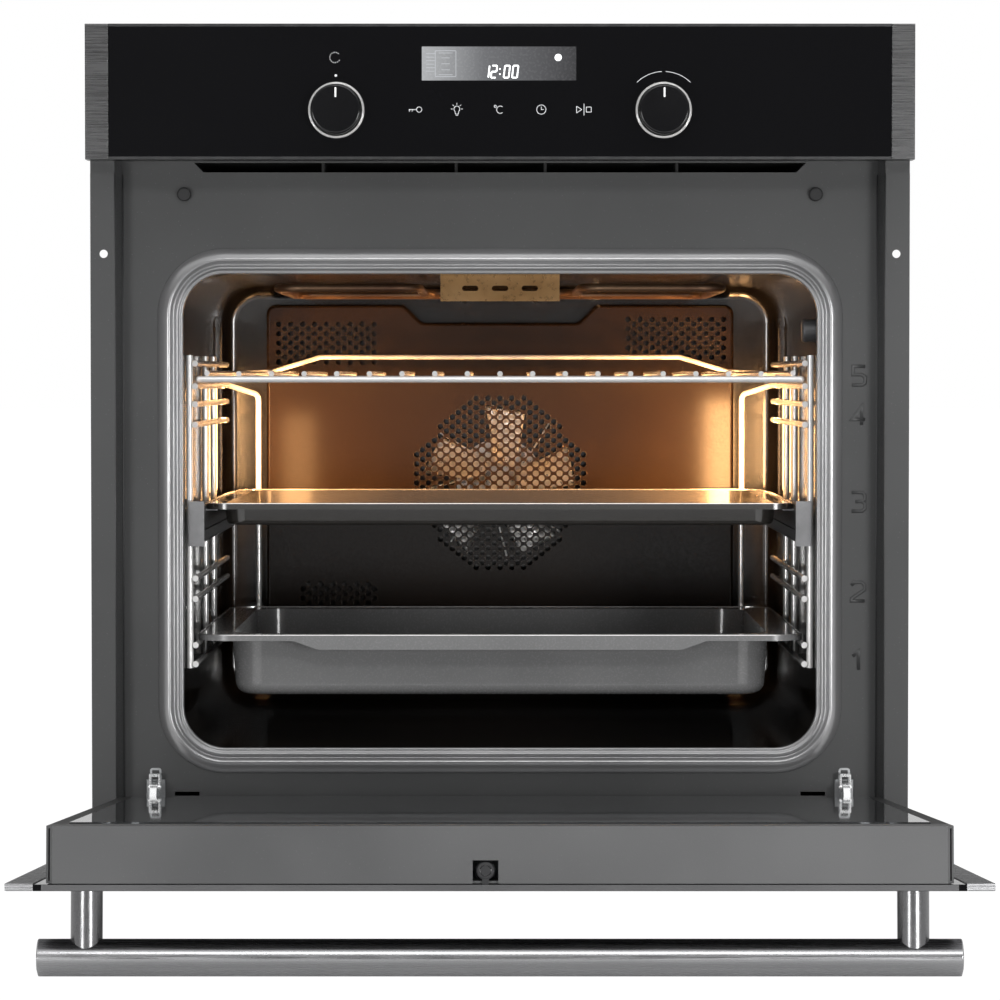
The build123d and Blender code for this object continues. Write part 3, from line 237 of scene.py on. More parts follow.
def detail_group():
    """Clouding, fine texture and specks of an even surface, from a position."""
    group = bpy.data.node_groups.new("surface_detail", "ShaderNodeTree")
    face = group.interface
    face.new_socket("Vector", in_out="INPUT", socket_type="NodeSocketVector")
    inputs = (("Cloud Scale", 6.0), ("Fine Scale", 400.0), ("Speck Scale", 260.0), ("Speck Size", 0.1))
    for name, value in inputs:
        face.new_socket(name, in_out="INPUT", socket_type="NodeSocketFloat").default_value = value
    for name in ("Cloud", "Fine", "Speck"):
        face.new_socket(name, in_out="OUTPUT", socket_type="NodeSocketFloat")
    link = group.links.new
    inlet = group.nodes.new("NodeGroupInput")
    outlet = group.nodes.new("NodeGroupOutput")
    for output, scale, detail in (("Cloud", "Cloud Scale", 3.0), ("Fine", "Fine Scale", 2.0)):
        noise = group.nodes.new("ShaderNodeTexNoise")
        noise.inputs["Detail"].default_value = detail
        link(inlet.outputs["Vector"], noise.inputs["Vector"])
        link(inlet.outputs[scale], noise.inputs["Scale"])
        spread = group.nodes.new("ShaderNodeMapRange")
        spread.inputs["From Min"].default_value = 0.3
        spread.inputs["From Max"].default_value = 0.7
        link(noise.outputs["Fac"], spread.inputs["Value"])
        link(spread.outputs["Result"], outlet.inputs[output])
    cells = group.nodes.new("ShaderNodeTexVoronoi")
    link(inlet.outputs["Vector"], cells.inputs["Vector"])
    link(inlet.outputs["Speck Scale"], cells.inputs["Scale"])
    near = group.nodes.new("ShaderNodeMath")
    near.operation = "LESS_THAN"
    link(cells.outputs["Distance"], near.inputs[0])
    link(inlet.outputs["Speck Size"], near.inputs[1])
    link(near.outputs["Value"], outlet.inputs["Speck"])
    return group


def spangle_group():
    """Zinc crystals: a value from 0 to 1 for each cell."""
    group = bpy.data.node_groups.new("zinc_crystals", "ShaderNodeTree")
    face = group.interface
    face.new_socket("Vector", in_out="INPUT", socket_type="NodeSocketVector")
    face.new_socket("Scale", in_out="INPUT", socket_type="NodeSocketFloat").default_value = 90.0
    face.new_socket("Crystal", in_out="OUTPUT", socket_type="NodeSocketFloat")
    link = group.links.new
    inlet = group.nodes.new("NodeGroupInput")
    outlet = group.nodes.new("NodeGroupOutput")
    cells = group.nodes.new("ShaderNodeTexVoronoi")
    cells.inputs["Randomness"].default_value = 1.0
    link(inlet.outputs["Vector"], cells.inputs["Vector"])
    link(inlet.outputs["Scale"], cells.inputs["Scale"])
    split = group.nodes.new("ShaderNodeSeparateColor")
    link(cells.outputs["Color"], split.inputs["Color"])
    link(split.outputs["Red"], outlet.inputs["Crystal"])
    return group


DETAIL = detail_group()
CRYSTALS = spangle_group()
CRYSTAL_CONTRAST = 0.12
BUMP_STRENGTH = 0.5
COAT_ROUGHNESS = 0.08


def finish_of(name, base, second=None, rough=0.4, rough_spread=0.08, metal=0.0, stretch=(1, 1, 1),
              cloud=6.0, fine=500.0, bump=0.02, speck=None, speck_size=0.1, speck_scale=260.0, coat=0.0,
              crystals=0.0, emission=None, strength=0.0, transmission=0.0, specular=0.5, anisotropic=0.0):
    """A finish: two tones mixed by clouding, specks, roughness from the fine texture, and a bump in mm."""
    material = bpy.data.materials.new(name)
    material.use_nodes = True
    tree = material.node_tree
    link = tree.links.new
    shader = tree.nodes["Principled BSDF"]
    place = tree.nodes.new("ShaderNodeTexCoord")
    mapping = tree.nodes.new("ShaderNodeMapping")
    mapping.inputs["Scale"].default_value = stretch
    link(place.outputs["Object"], mapping.inputs["Vector"])
    detail = tree.nodes.new("ShaderNodeGroup")
    detail.node_tree = DETAIL
    link(mapping.outputs["Vector"], detail.inputs["Vector"])
    detail.inputs["Cloud Scale"].default_value = cloud
    detail.inputs["Fine Scale"].default_value = fine
    detail.inputs["Speck Scale"].default_value = speck_scale
    detail.inputs["Speck Size"].default_value = speck_size if speck else 0.0
    tones = colour_mix(tree)
    tones.inputs["A"].default_value = (*base, 1)
    tones.inputs["B"].default_value = (*(second or base), 1)
    link(detail.outputs["Cloud"], tones.inputs["Factor"])
    colour = tones.outputs["Result"]
    if crystals:
        cells = tree.nodes.new("ShaderNodeGroup")
        cells.node_tree = CRYSTALS
        cells.inputs["Scale"].default_value = crystals
        link(place.outputs["Object"], cells.inputs["Vector"])
        shade = colour_mix(tree, "MULTIPLY")
        shade.inputs["Factor"].default_value = CRYSTAL_CONTRAST
        link(colour, shade.inputs["A"])
        link(cells.outputs["Crystal"], shade.inputs["B"])
        colour = shade.outputs["Result"]
    if speck:
        dots = colour_mix(tree)
        dots.inputs["B"].default_value = (*speck, 1)
        link(colour, dots.inputs["A"])
        link(detail.outputs["Speck"], dots.inputs["Factor"])
        colour = dots.outputs["Result"]
    link(colour, shader.inputs["Base Color"])
    gloss = tree.nodes.new("ShaderNodeMapRange")
    gloss.inputs["To Min"].default_value = max(rough - rough_spread, 0.02)
    gloss.inputs["To Max"].default_value = rough + rough_spread
    link(detail.outputs["Fine"], gloss.inputs["Value"])
    link(gloss.outputs["Result"], shader.inputs["Roughness"])
    if bump:
        relief = tree.nodes.new("ShaderNodeBump")
        relief.inputs["Strength"].default_value = BUMP_STRENGTH
        relief.inputs["Distance"].default_value = mm(bump)
        link(detail.outputs["Fine"], relief.inputs["Height"])
        link(relief.outputs["Normal"], shader.inputs["Normal"])
    shader.inputs["Metallic"].default_value = metal
    shader.inputs["Coat Weight"].default_value = coat
    shader.inputs["Coat Roughness"].default_value = COAT_ROUGHNESS
    shader.inputs["Specular IOR Level"].default_value = specular
    shader.inputs["Transmission Weight"].default_value = transmission
    shader.inputs["Anisotropic"].default_value = anisotropic
    if emission:
        shader.inputs["Emission Color"].default_value = (*emission, 1)
        shader.inputs["Emission Strength"].default_value = strength
    return material


FINISH = {
    "black_glass": finish_of("black_glass", (0.004, 0.004, 0.005), (0.006, 0.006, 0.007), rough=0.05,
                             rough_spread=0.02, bump=0.0, cloud=3.0),
    "clear_glass": finish_of("tinted_glass", (0.25, 0.26, 0.27), rough=0.03, rough_spread=0.01, bump=0.0,
                             transmission=0.9, cloud=3.0),
    "brushed_steel": finish_of("brushed_steel", (0.42, 0.42, 0.43), (0.46, 0.46, 0.47), rough=0.26,
                               rough_spread=0.06, metal=1.0, stretch=(0.02, 1, 1), cloud=90.0, fine=1500.0,
                               bump=0.004, anisotropic=0.4),
    "aluminium": finish_of("satin_aluminium", (0.06, 0.06, 0.062), (0.085, 0.085, 0.087), rough=0.36,
                           rough_spread=0.05, metal=1.0, stretch=(1, 1, 0.02), cloud=90.0, fine=1500.0,
                           bump=0.004),
    "enamel": finish_of("grey_enamel", (0.05, 0.051, 0.052), (0.066, 0.067, 0.068), rough=0.4,
                        rough_spread=0.08, cloud=7.0, fine=900.0, bump=0.02, speck=(0.2, 0.2, 0.2),
                        speck_size=0.06, speck_scale=330.0),
    "cavity_enamel": finish_of("cavity_enamel", (0.011, 0.0095, 0.008), (0.016, 0.013, 0.011), rough=0.17,
                               rough_spread=0.04, cloud=14.0, fine=700.0, bump=0.01,
                               speck=(0.12, 0.1, 0.09), speck_size=0.04, speck_scale=300.0, coat=0.5,
                               specular=0.9),
    "zinc_sheet": finish_of("zinc_sheet", (0.42, 0.43, 0.44), (0.55, 0.56, 0.57), rough=0.42,
                            rough_spread=0.1, metal=0.9, cloud=20.0, fine=900.0, bump=0.02, crystals=240.0),
    "chrome": finish_of("bright_wire", (0.9, 0.89, 0.88), (0.97, 0.96, 0.95), rough=0.14, rough_spread=0.03,
                        metal=0.4, cloud=30.0, fine=800.0, bump=0.008),
    "black_plastic": finish_of("black_plastic", (0.018, 0.018, 0.02), (0.026, 0.026, 0.028), rough=0.55,
                               rough_spread=0.08, cloud=20.0, fine=2400.0, bump=0.05),
    "gloss_plastic": finish_of("gloss_plastic", (0.006, 0.006, 0.007), (0.01, 0.01, 0.011), rough=0.12,
                               rough_spread=0.03, cloud=20.0, fine=900.0, bump=0.005),
    "rubber": finish_of("black_rubber", (0.02, 0.02, 0.021), (0.03, 0.03, 0.031), rough=0.7, cloud=30.0,
                        fine=1600.0, bump=0.05),
    "seal": finish_of("seal_frame", (0.32, 0.32, 0.325), (0.4, 0.4, 0.405), rough=0.24, rough_spread=0.02,
                      metal=0.6, cloud=8.0, fine=300.0, bump=0.0),
    "wool": finish_of("mineral_wool", (0.5, 0.45, 0.33), (0.66, 0.61, 0.49), rough=0.95, rough_spread=0.04,
                      cloud=40.0, fine=260.0, bump=1.2),
    "heater": finish_of("heat_tinted_tube", (0.1, 0.05, 0.03), (0.2, 0.12, 0.07), rough=0.38,
                        rough_spread=0.1, metal=0.8, cloud=25.0, fine=900.0, bump=0.04),
    "bracket_tan": finish_of("straw_tinted_steel", (0.27, 0.15, 0.06), (0.4, 0.24, 0.11), rough=0.3,
                             rough_spread=0.04, metal=0.9, cloud=26.0, fine=300.0, bump=0.0),
    "lamp_glass": finish_of("lamp_glass", (0.95, 0.85, 0.7), rough=0.15, rough_spread=0.05, cloud=60.0,
                            fine=150.0, bump=0.3, emission=(1.0, 0.62, 0.3), strength=5.0),
    "ceramic": finish_of("lamp_ceramic", (0.72, 0.7, 0.64), (0.8, 0.78, 0.72), rough=0.6, cloud=40.0,
                         fine=900.0, bump=0.04),
    "board": finish_of("circuit_board", (0.03, 0.12, 0.06), (0.05, 0.17, 0.08), rough=0.4, cloud=120.0,
                       fine=900.0, bump=0.03),
    "display": finish_of("display_body", (0.01, 0.01, 0.012), (0.016, 0.016, 0.018), rough=0.2, cloud=20.0,
                         fine=900.0, bump=0.01),
    "dark_steel": finish_of("dark_coated_steel", (0.1, 0.1, 0.103), (0.14, 0.14, 0.143), rough=0.4,
                            rough_spread=0.1, metal=0.4, cloud=12.0, fine=900.0, bump=0.03),
}
FAN_METAL = finish_of("fan_aluminium", (0.85, 0.82, 0.8), (0.95, 0.93, 0.92), rough=0.36, rough_spread=0.15,
                      metal=0.7, cloud=60.0, fine=160.0, bump=0.5)
PAN_ENAMEL = finish_of("pan_enamel", (0.22, 0.22, 0.222), (0.26, 0.26, 0.262), rough=0.25,
                       rough_spread=0.06, cloud=12.0, fine=700.0, bump=0.01, speck=(0.3, 0.3, 0.3),
                       speck_size=0.05, coat=0.5)
TRAY_ENAMEL = finish_of("tray_enamel", (0.022, 0.019, 0.016), (0.03, 0.026, 0.022), rough=0.2,
                        rough_spread=0.04, cloud=12.0, fine=700.0, bump=0.01, speck=(0.2, 0.2, 0.2),
                        speck_size=0.04, coat=0.6, specular=0.9)
RUNNER_STEEL = finish_of("runner_steel", (0.2, 0.2, 0.205), (0.28, 0.28, 0.285), rough=0.45,
                         rough_spread=0.1, metal=0.85, stretch=(1, 0.1, 1), cloud=50.0, fine=1200.0,
                         bump=0.03)
# door enamel: the strong, wide clouding between its dark and pale tones is a painted reflection, blotches of
# sheen on the door's top channel
DOOR_ENAMEL_AND_PAINTED_SHEEN = finish_of("door_enamel_and_painted_sheen", (0.085, 0.086, 0.088), (0.14, 0.141, 0.143), rough=0.4,
                        rough_spread=0.1, cloud=5.0, fine=1100.0, bump=0.03, speck=(0.22, 0.22, 0.22),
                        speck_size=0.06, speck_scale=420.0)
CAP_STEEL = finish_of("brushed_cap", (0.15, 0.15, 0.152), (0.165, 0.165, 0.167), rough=0.28,
                      rough_spread=0.06, metal=1.0, stretch=(0.02, 1, 1), cloud=90.0, fine=1500.0,
                      bump=0.002)
COVER_ENAMEL = finish_of("cover_enamel", (0.011, 0.006, 0.003), (0.017, 0.0095, 0.005), rough=0.2,
                         rough_spread=0.04, cloud=9.0, fine=700.0, bump=0.004, specular=0.4)
# pale metal of the tray and pan rims: a painted highlight; the enamel rims are not this pale, though their
# rolled shape also catches real light
RIM_PAINTED_HIGHLIGHT = finish_of("rim_painted_highlight", (0.75, 0.74, 0.73), (0.85, 0.84, 0.83), rough=0.22, rough_spread=0.05,
                       metal=0.8, cloud=40.0, fine=900.0, bump=0.004)
# pale warm metal of the rolled hole edges: a painted highlight on the edges of the dark cover's holes
HOLE_EDGE_PAINTED_HIGHLIGHT = finish_of("hole_edge_painted_highlight", (0.16, 0.13, 0.11), (0.22, 0.19, 0.16), rough=0.2,
                        rough_spread=0.05, metal=0.8, cloud=60.0, fine=900.0, bump=0.0)
CATCH_ZINC = finish_of("catch_zinc", (0.9, 0.91, 0.92), (0.97, 0.97, 0.97), rough=0.3, rough_spread=0.08,
                       metal=0.75, cloud=60.0, fine=1200.0, bump=0.01)
POST_STEEL = finish_of("post_steel", (0.22, 0.22, 0.225), (0.28, 0.28, 0.285), rough=0.24,
                       rough_spread=0.05, metal=1.0, stretch=(1, 1, 0.05), cloud=60.0, fine=1500.0,
                       bump=0.002)
DUCT_BLACK = finish_of("duct_black", (0.008, 0.008, 0.008), (0.012, 0.012, 0.012), rough=0.7, cloud=20.0,
                       fine=900.0, bump=0.01)
# pale print on the panel: the print is real, the faint glow given to it is painted light
PRINT = finish_of("pale_print_painted_glow", (0.75, 0.75, 0.76), rough=0.5, cloud=60.0, fine=900.0, bump=0.0,
                  emission=(0.9, 0.93, 1.0), strength=0.25)
LIT = finish_of("lit_segments", (0.9, 0.9, 0.9), rough=0.5, cloud=60.0, fine=900.0, bump=0.0,
                emission=(0.95, 0.98, 1.0), strength=1.4)
# white knob pointers: the white is their print, the glow on it is painted light
POINTER_WITH_PAINTED_GLOW = finish_of("pointer_white_painted_glow", (0.85, 0.85, 0.85), rough=0.45, cloud=60.0, fine=900.0, bump=0.0,
                    emission=(1.0, 1.0, 1.0), strength=0.5)


def display_finish():
    """The lit window: pale at its left end and dark at its right."""
    material = finish_of("display_window", (0.02, 0.02, 0.022), rough=0.25, bump=0.0)
    tree = material.node_tree
    link = tree.links.new
    shader = tree.nodes["Principled BSDF"]
    place = tree.nodes.new("ShaderNodeTexCoord")
    split = tree.nodes.new("ShaderNodeSeparateXYZ")
    link(place.outputs["Object"], split.inputs["Vector"])
    along = tree.nodes.new("ShaderNodeMapRange")
    along.inputs["From Min"].default_value = mm(-56.0)
    along.inputs["From Max"].default_value = mm(55.0)
    link(split.outputs["X"], along.inputs["Value"])
    ramp = tree.nodes.new("ShaderNodeValToRGB")
    ramp.color_ramp.elements[0].color = (0.42, 0.43, 0.44, 1)
    ramp.color_ramp.elements[1].color = (0.028, 0.028, 0.03, 1)
    middle = ramp.color_ramp.elements.new(0.4)
    middle.color = (0.14, 0.143, 0.15, 1)
    link(along.outputs["Result"], ramp.inputs["Fac"])
    link(ramp.outputs["Color"], shader.inputs["Emission Color"])
    shader.inputs["Emission Strength"].default_value = 1.0
    return material


SLOT_OF = {p["node"]: p["material_slot"] for p in frame["record"]["subparts"]}
OWN_FINISH = {
    "convection_fan": FAN_METAL, "baking_tray": TRAY_ENAMEL, "deep_pan": PAN_ENAMEL,
    "panel_end_caps": CAP_STEEL, "air_duct": DUCT_BLACK, "runner_rails": RUNNER_STEEL,
    "runner_slides": RUNNER_STEEL, "door_top_channel": DOOR_ENAMEL_AND_PAINTED_SHEEN, "fan_cover_plate": COVER_ENAMEL,
    "hinge_arms": CATCH_ZINC, "left_catch_lever": CATCH_ZINC, "right_catch_lever": CATCH_ZINC,
    "handle_posts": POST_STEEL,
}
for name, node in nodes.items():
    node.data.materials.clear()
    node.data.materials.append(OWN_FINISH.get(name) or FINISH[SLOT_OF[name]])

# ======================================================================
# Front of the case
# ======================================================================

# outward from the cavity edge, and proud of the facia: lip, groove, crest, long outer slope
SEAL_PROFILE = mm_points([
    (0.0, -0.4), (0.0, 2.2), (0.5, 3.0), (1.3, 3.2), (2.1, 2.9), (2.8, 3.3), (3.6, 4.5), (4.5, 4.8),
    (5.3, 4.3), (5.9, 2.9), (6.6, 2.2), (7.6, 2.4), (8.3, 3.7), (8.9, 4.9), (9.7, 5.5), (10.7, 5.55),
    (12.3, 5.1), (14.2, 4.2), (16.2, 3.0), (17.7, 1.7), (18.6, 0.7), (19.0, -0.4),
])
opening = ring_path(OPENING_HALF, OPENING_HALF_HEIGHT, OPENING_CORNER, 16)
seal_ring = add_piece(
    "seal_ring", [carried(opening, SEAL_PROFILE, (0, FACIA_Y, OPENING_MID_Z), closed=True)],
    FINISH["seal"], "root")
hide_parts("door_seal")

# numerals of the five levels, on a grid 1 wide and 1 high
NUMERALS = {
    "5": [[(1, 1), (0.06, 1), (0.06, 0.56), (0.72, 0.56), (1, 0.42), (1, 0.12), (0.78, 0), (0, 0)]],
    "4": [[(0.74, 0), (0.74, 1), (0, 0.3), (1, 0.3)]],
    "3": [[(0, 1), (0.8, 1), (1, 0.86), (1, 0.62), (0.76, 0.52), (0.3, 0.52)],
          [(0.76, 0.52), (1, 0.4), (1, 0.14), (0.8, 0), (0, 0)]],
    "2": [[(0, 0.84), (0.2, 1), (0.8, 1), (1, 0.84), (1, 0.6), (0, 0.12), (0, 0), (1, 0)]],
    "1": [[(0.1, 0.74), (0.55, 1), (0.55, 0)]],
}
NUMERAL_LEFT, NUMERAL_WIDTH, NUMERAL_HEIGHT = 256.9, 9.6, 13.6
LEVELS = {"5": 343.0, "4": 313.8, "3": 250.9, "2": 185.2, "1": 134.7}
level_shells = []
for numeral, level_z in LEVELS.items():
    corner = mm(NUMERAL_LEFT, level_z - NUMERAL_HEIGHT / 2)
    for stroke in NUMERALS[numeral]:
        path = np.array(stroke) * mm(NUMERAL_WIDTH, NUMERAL_HEIGHT) + corner
        level_shells.append(carried(path, round_bead(mm(2.6), mm(0.9)), (0, FACIA_Y, 0)))
add_piece("level_numerals", level_shells, FINISH["enamel"], "root")

# rounded bends of the sheet where the facia turns into the flanges, and the hemmed flange edges
BENDS = ((278.6, -0.55, 0.75), (275.0, 23.7, 0.7), (295.5, -0.55, 0.65))  # x, y and radius
bend_path = np.stack([np.zeros(2), mm(2.0, 489.0)], 1)
turn = np.linspace(0, 2 * pi, 12, endpoint=False)
circle = np.stack([np.cos(turn), np.sin(turn)], 1)[::-1]
bend_shells = [carried(bend_path, mm(radius) * circle, (side * mm(x), mm(y), 0))
               for side in (-1, 1) for x, y, radius in BENDS]
add_piece("flange_bends", bend_shells, FINISH["enamel"], "root")

# frames round the hinge slots
HINGE_SLOT_X, HINGE_SLOT_Z = mm(252.0, 41.0)
slot_path = ring_path(mm(3.4), mm(14.2), mm(1.2), 4)
slot_shells = [carried(slot_path, flat_line(mm(1.5), mm(0.9)), (side * HINGE_SLOT_X, FACIA_Y, HINGE_SLOT_Z),
                       closed=True) for side in (-1, 1)]
add_piece("hinge_slot_frames", slot_shells, FINISH["zinc_sheet"], "root", smooth=False)

# ======================================================================
# Control panel
# ======================================================================

FACE = (0, PANEL_FACE_Y, 0)
STROKE = flat_line(mm(0.42), mm(0.06))
DISPLAY_HALF, DISPLAY_HEIGHT = mm(55.3, 24.2)
window = carried([(-DISPLAY_HALF, 0), (DISPLAY_HALF, 0)], flat_line(DISPLAY_HEIGHT, mm(0.05)),
                 (mm(-0.7), PANEL_FACE_Y, mm(566.5)))
add_piece("display_window", [window], display_finish(), "root", smooth=False)


def segment_digit(shown, left, bottom, width, height, slant):
    """Strokes of a seven-segment digit. Point (s, t) of the unit digit lands at left + w s + slant t."""
    corners = {"a": ((0, 1), (1, 1)), "b": ((1, 1), (1, 0.5)), "c": ((1, 0.5), (1, 0)), "d": ((1, 0), (0, 0)),
               "e": ((0, 0), (0, 0.5)), "f": ((0, 0.5), (0, 1)), "g": ((0, 0.5), (1, 0.5))}
    strokes = []
    for key in shown:
        ends = np.array(corners[key], float)
        ends = ends + SEGMENT_GAP * (ends.mean(0) - ends)
        s, t = ends.T
        strokes.append(np.stack([left + width * s + slant * t, bottom + height * t], 1))
    return strokes


def disc(radius, height, x, z, sides):
    """A flat round dot on the panel's face, in millimetres."""
    profile = mm_points([(0, height), (radius, height), (radius, 0), (0, 0)])
    return turned(profile, (mm(x), PANEL_FACE_Y, mm(z)), sides=sides)


SEGMENT_GAP = 0.06
LIT_HEIGHT = 0.09
CLOCK = (("bc", -12.0), ("abged", -6.6), ("abcdef", 2.6), ("abcdef", 8.6))  # segments and left edge
lit_shells = []
for shown, left in CLOCK:
    for stroke in segment_digit(shown, mm(left), mm(556.4), mm(3.6), mm(8.6), mm(1.0)):
        lit_shells.append(carried(stroke, flat_line(mm(1.05), mm(LIT_HEIGHT)), FACE))
for z in (558.9, 562.6):
    colon_dot = mm_points([(-0.6, z), (0.4, z)])
    lit_shells.append(carried(colon_dot, flat_line(mm(1.0), mm(LIT_HEIGHT)), FACE))
lit_shells.append(disc(2.5, LIT_HEIGHT, 41.7, 570.8, 28))
add_piece("lit_clock", lit_shells, LIT, "root", smooth=False)

# faint pictograms in the pale end of the display
FAINT_LINES = (  # left end, right end and height
    (-53, -46, 573.5), (-53, -47, 571.0), (-53, -46, 568.5), (-53, -47.5, 566.0), (-53, -46, 563.5),
    (-53, -47, 561.0), (-44, -34, 574.0), (-44, -34, 558.5), (-42, -36, 570.5), (-42, -36, 566.3),
    (-42, -36, 562.0))
faint = [carried(mm_points([(s0, t), (s1, t)]), flat_line(mm(0.4), mm(0.08)), FACE)
         for s0, s1, t in FAINT_LINES]
faint_frame = ring_path(mm(7.4), mm(9.2), mm(0.4), 3) + mm(-39.0, 566.4)
faint.append(carried(faint_frame, flat_line(mm(0.45), mm(0.08)), FACE, closed=True))
FAINT_PRINT = finish_of("faint_print", (0.3, 0.31, 0.32), rough=0.5, cloud=60.0, fine=900.0, bump=0.0,
                        emission=(0.9, 0.93, 1.0), strength=0.3)
add_piece("display_marks", faint, FAINT_PRINT, "root", smooth=False)

# symbols under the display: key, lamp, degrees, clock, start and stop
prints = []


def line(*points):
    """An open printed line through points in millimetres."""
    prints.append(carried(mm_points(points), STROKE, FACE))


def loop(centre, half_width, half_height, corner):
    """A closed printed outline in millimetres."""
    path = ring_path(mm(half_width), mm(half_height), mm(corner), 6) + mm(*centre)
    prints.append(carried(path, STROKE, FACE, closed=True))


def bow(centre, radius, start, end, steps=20):
    """A printed arc in millimetres and degrees."""
    prints.append(carried(arc_path(mm(*centre), mm(radius), start, end, steps), STROKE, FACE))


SYMBOL_Z = 533.6
BULB_X, BULB_Z = -30.9, SYMBOL_Z + 0.4
RAY_INNER, RAY_OUTER = 3.1, 4.3
SCALE_RADIUS = 27.6
loop((-57.9, SYMBOL_Z), 1.9, 1.9, 1.89)
line((-59.9, SYMBOL_Z), (-65.3, SYMBOL_Z))
line((-64.9, SYMBOL_Z), (-64.9, SYMBOL_Z - 1.7))
line((-62.9, SYMBOL_Z), (-62.9, SYMBOL_Z - 1.4))
bow((BULB_X, BULB_Z), 2.1, -50, 230)
line((-32.2, SYMBOL_Z - 1.3), (-32.0, SYMBOL_Z - 3.2), (-29.8, SYMBOL_Z - 3.2), (-29.6, SYMBOL_Z - 1.3))
line((-31.8, SYMBOL_Z - 4.1), (-30.0, SYMBOL_Z - 4.1))
for ray in (0, 45, 90, 135, 180):
    c, s = cos(radians(ray)), sin(radians(ray))
    line((BULB_X + RAY_INNER * c, BULB_Z + RAY_INNER * s), (BULB_X + RAY_OUTER * c, BULB_Z + RAY_OUTER * s))
loop((-3.4, SYMBOL_Z + 2.3), 0.8, 0.8, 0.79)
bow((0.2, SYMBOL_Z - 0.1), 2.6, 50, 310)
loop((29.6, SYMBOL_Z), 3.3, 3.3, 3.29)
line((29.6, SYMBOL_Z + 2.1), (29.6, SYMBOL_Z), (31.3, SYMBOL_Z))
line((54.9, SYMBOL_Z + 2.4), (54.9, SYMBOL_Z - 2.4), (58.6, SYMBOL_Z), (54.9, SYMBOL_Z + 2.4))
line((60.2, SYMBOL_Z + 4.2), (60.2, SYMBOL_Z - 4.2))
loop((63.6, SYMBOL_Z), 1.8, 1.8, 0.2)
for start, end in ((46, 87), (93, 134)):
    bow(KNOB_CENTRE_MM, SCALE_RADIUS, start, end, 24)
add_piece("panel_symbols", prints, PRINT, "root", smooth=False)

# over the function knob: a dot at its rest place, and an open ring of small dots
PRINT_HEIGHT = 0.07
RING_X, RING_Z, RING_RADIUS = -118.2, 570.8, 3.7
marks = [disc(0.95, PRINT_HEIGHT, -117.6, 557.9, 20)]
marks += [disc(0.36, PRINT_HEIGHT, RING_X + RING_RADIUS * cos(turn), RING_Z + RING_RADIUS * sin(turn), 10)
          for turn in np.radians(np.arange(50, 326, 25))]
add_piece("function_mark", marks, PRINT, "root", smooth=False)

# knob surrounds: a bright ring with a groove between two rounded crests
BEZEL = mm_points([
    (18.35, -0.3), (18.35, 1.4), (18.55, 1.9), (18.85, 2.1), (19.1, 1.9), (19.25, 1.35), (19.4, 1.3),
    (19.6, 1.6), (19.8, 1.6), (20.05, 1.2), (20.2, 0.5), (20.2, -0.3),
])
surrounds = [turned(BEZEL[::-1], (side * KNOB_X, PANEL_FACE_Y, KNOB_Z), sides=96) for side in (-1, 1)]
surround_piece = add_piece("knob_surrounds", surrounds, FINISH["chrome"], "root")
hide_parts("knob_bezels")
knob_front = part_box("function_knob")[0].y
for side, dial in ((-1, "function_dial"), (1, "temperature_dial")):
    # each pointer glows with painted light
    pointer = carried([(side * KNOB_X, mm(541.6)), (side * KNOB_X, mm(548.4))], flat_line(mm(1.2), mm(0.6)),
                      (0, knob_front + mm(0.58), 0))
    add_piece(dial + "_pointer", [pointer], POINTER_WITH_PAINTED_GLOW, dial, smooth=False)

# ======================================================================
# Inside the cavity
# ======================================================================

# two pressed beads, one inside the other, on each side wall near the back
BEAD_CENTRE = mm(372.0, 292.0)  # y, z
BEAD_HALVES = ((42.0, 98.0), (34.0, 90.0))
wall_beads = []
for side in (-1, 1):
    axes = (np.array([0, 1.0, 0]), np.array([0, 0, 1.0]), np.array([-side * 1.0, 0, 0]))
    for half_y, half_z in BEAD_HALVES:
        path = ring_path(mm(half_y), mm(half_z), mm(14.0), 6) + BEAD_CENTRE
        wall_beads.append(carried(path, round_bead(mm(2.2), mm(0.9), 6), (side * OPENING_HALF, 0, 0), axes,
                                  closed=True))
add_piece("wall_beads", wall_beads, FINISH["cavity_enamel"], "root")

# holes of the fan cover, in millimetres: their pitch, and where the corners of the fan's grid are cut
PITCH_X, PITCH_Z = 9.9, 3.9
CUT_X, CUT_Z = 25.0, 24.0


def hole_grid(half_width, half_height, cut):
    """Staggered hole centres in a rectangle, in millimetres.

    With cut, each corner is taken off by a line from CUT_X along the top or bottom to CUT_Z up or
    down the side.
    """
    columns, rows = int(half_width / PITCH_X) + 2, int(half_height / PITCH_Z) + 1
    row, column = np.meshgrid(np.arange(-rows, rows + 1), np.arange(-columns, columns + 1), indexing="ij")
    x = (column + (row % 2) / 2) * PITCH_X
    z = row * PITCH_Z
    inside = (np.abs(x) <= half_width) & (np.abs(z) <= half_height)
    if cut:
        inside &= ((np.abs(x) - CUT_X) * (half_height - CUT_Z)
                   + (np.abs(z) - half_height) * (half_width - CUT_X) <= 0)
    return np.stack([x[inside], z[inside]], 1)


def hole_edges(centres, face_y, sides=14):
    """Rolled edges: a closed section of (radius, height) turned about every centre at once."""
    section = mm_points([(2.52, -0.2), (2.52, 0.1), (2.62, 0.2), (2.74, 0.1), (2.76, -0.2)])
    radius, height = section[:, 0], section[:, 1]
    turn = np.linspace(0, 2 * pi, sides, endpoint=False)[:, None]
    x = centres[:, 0, None, None] + radius * np.cos(turn)
    z = centres[:, 1, None, None] + radius * np.sin(turn)
    y = np.broadcast_to(face_y - height, x.shape)
    one = quads(sides, len(section), True, True)[:, ::-1]
    faces = one[None] + (np.arange(len(centres)) * sides * len(section))[:, None, None]
    return np.stack([x, y, z], -1).reshape(-1, 3), faces.reshape(-1, 4).tolist()


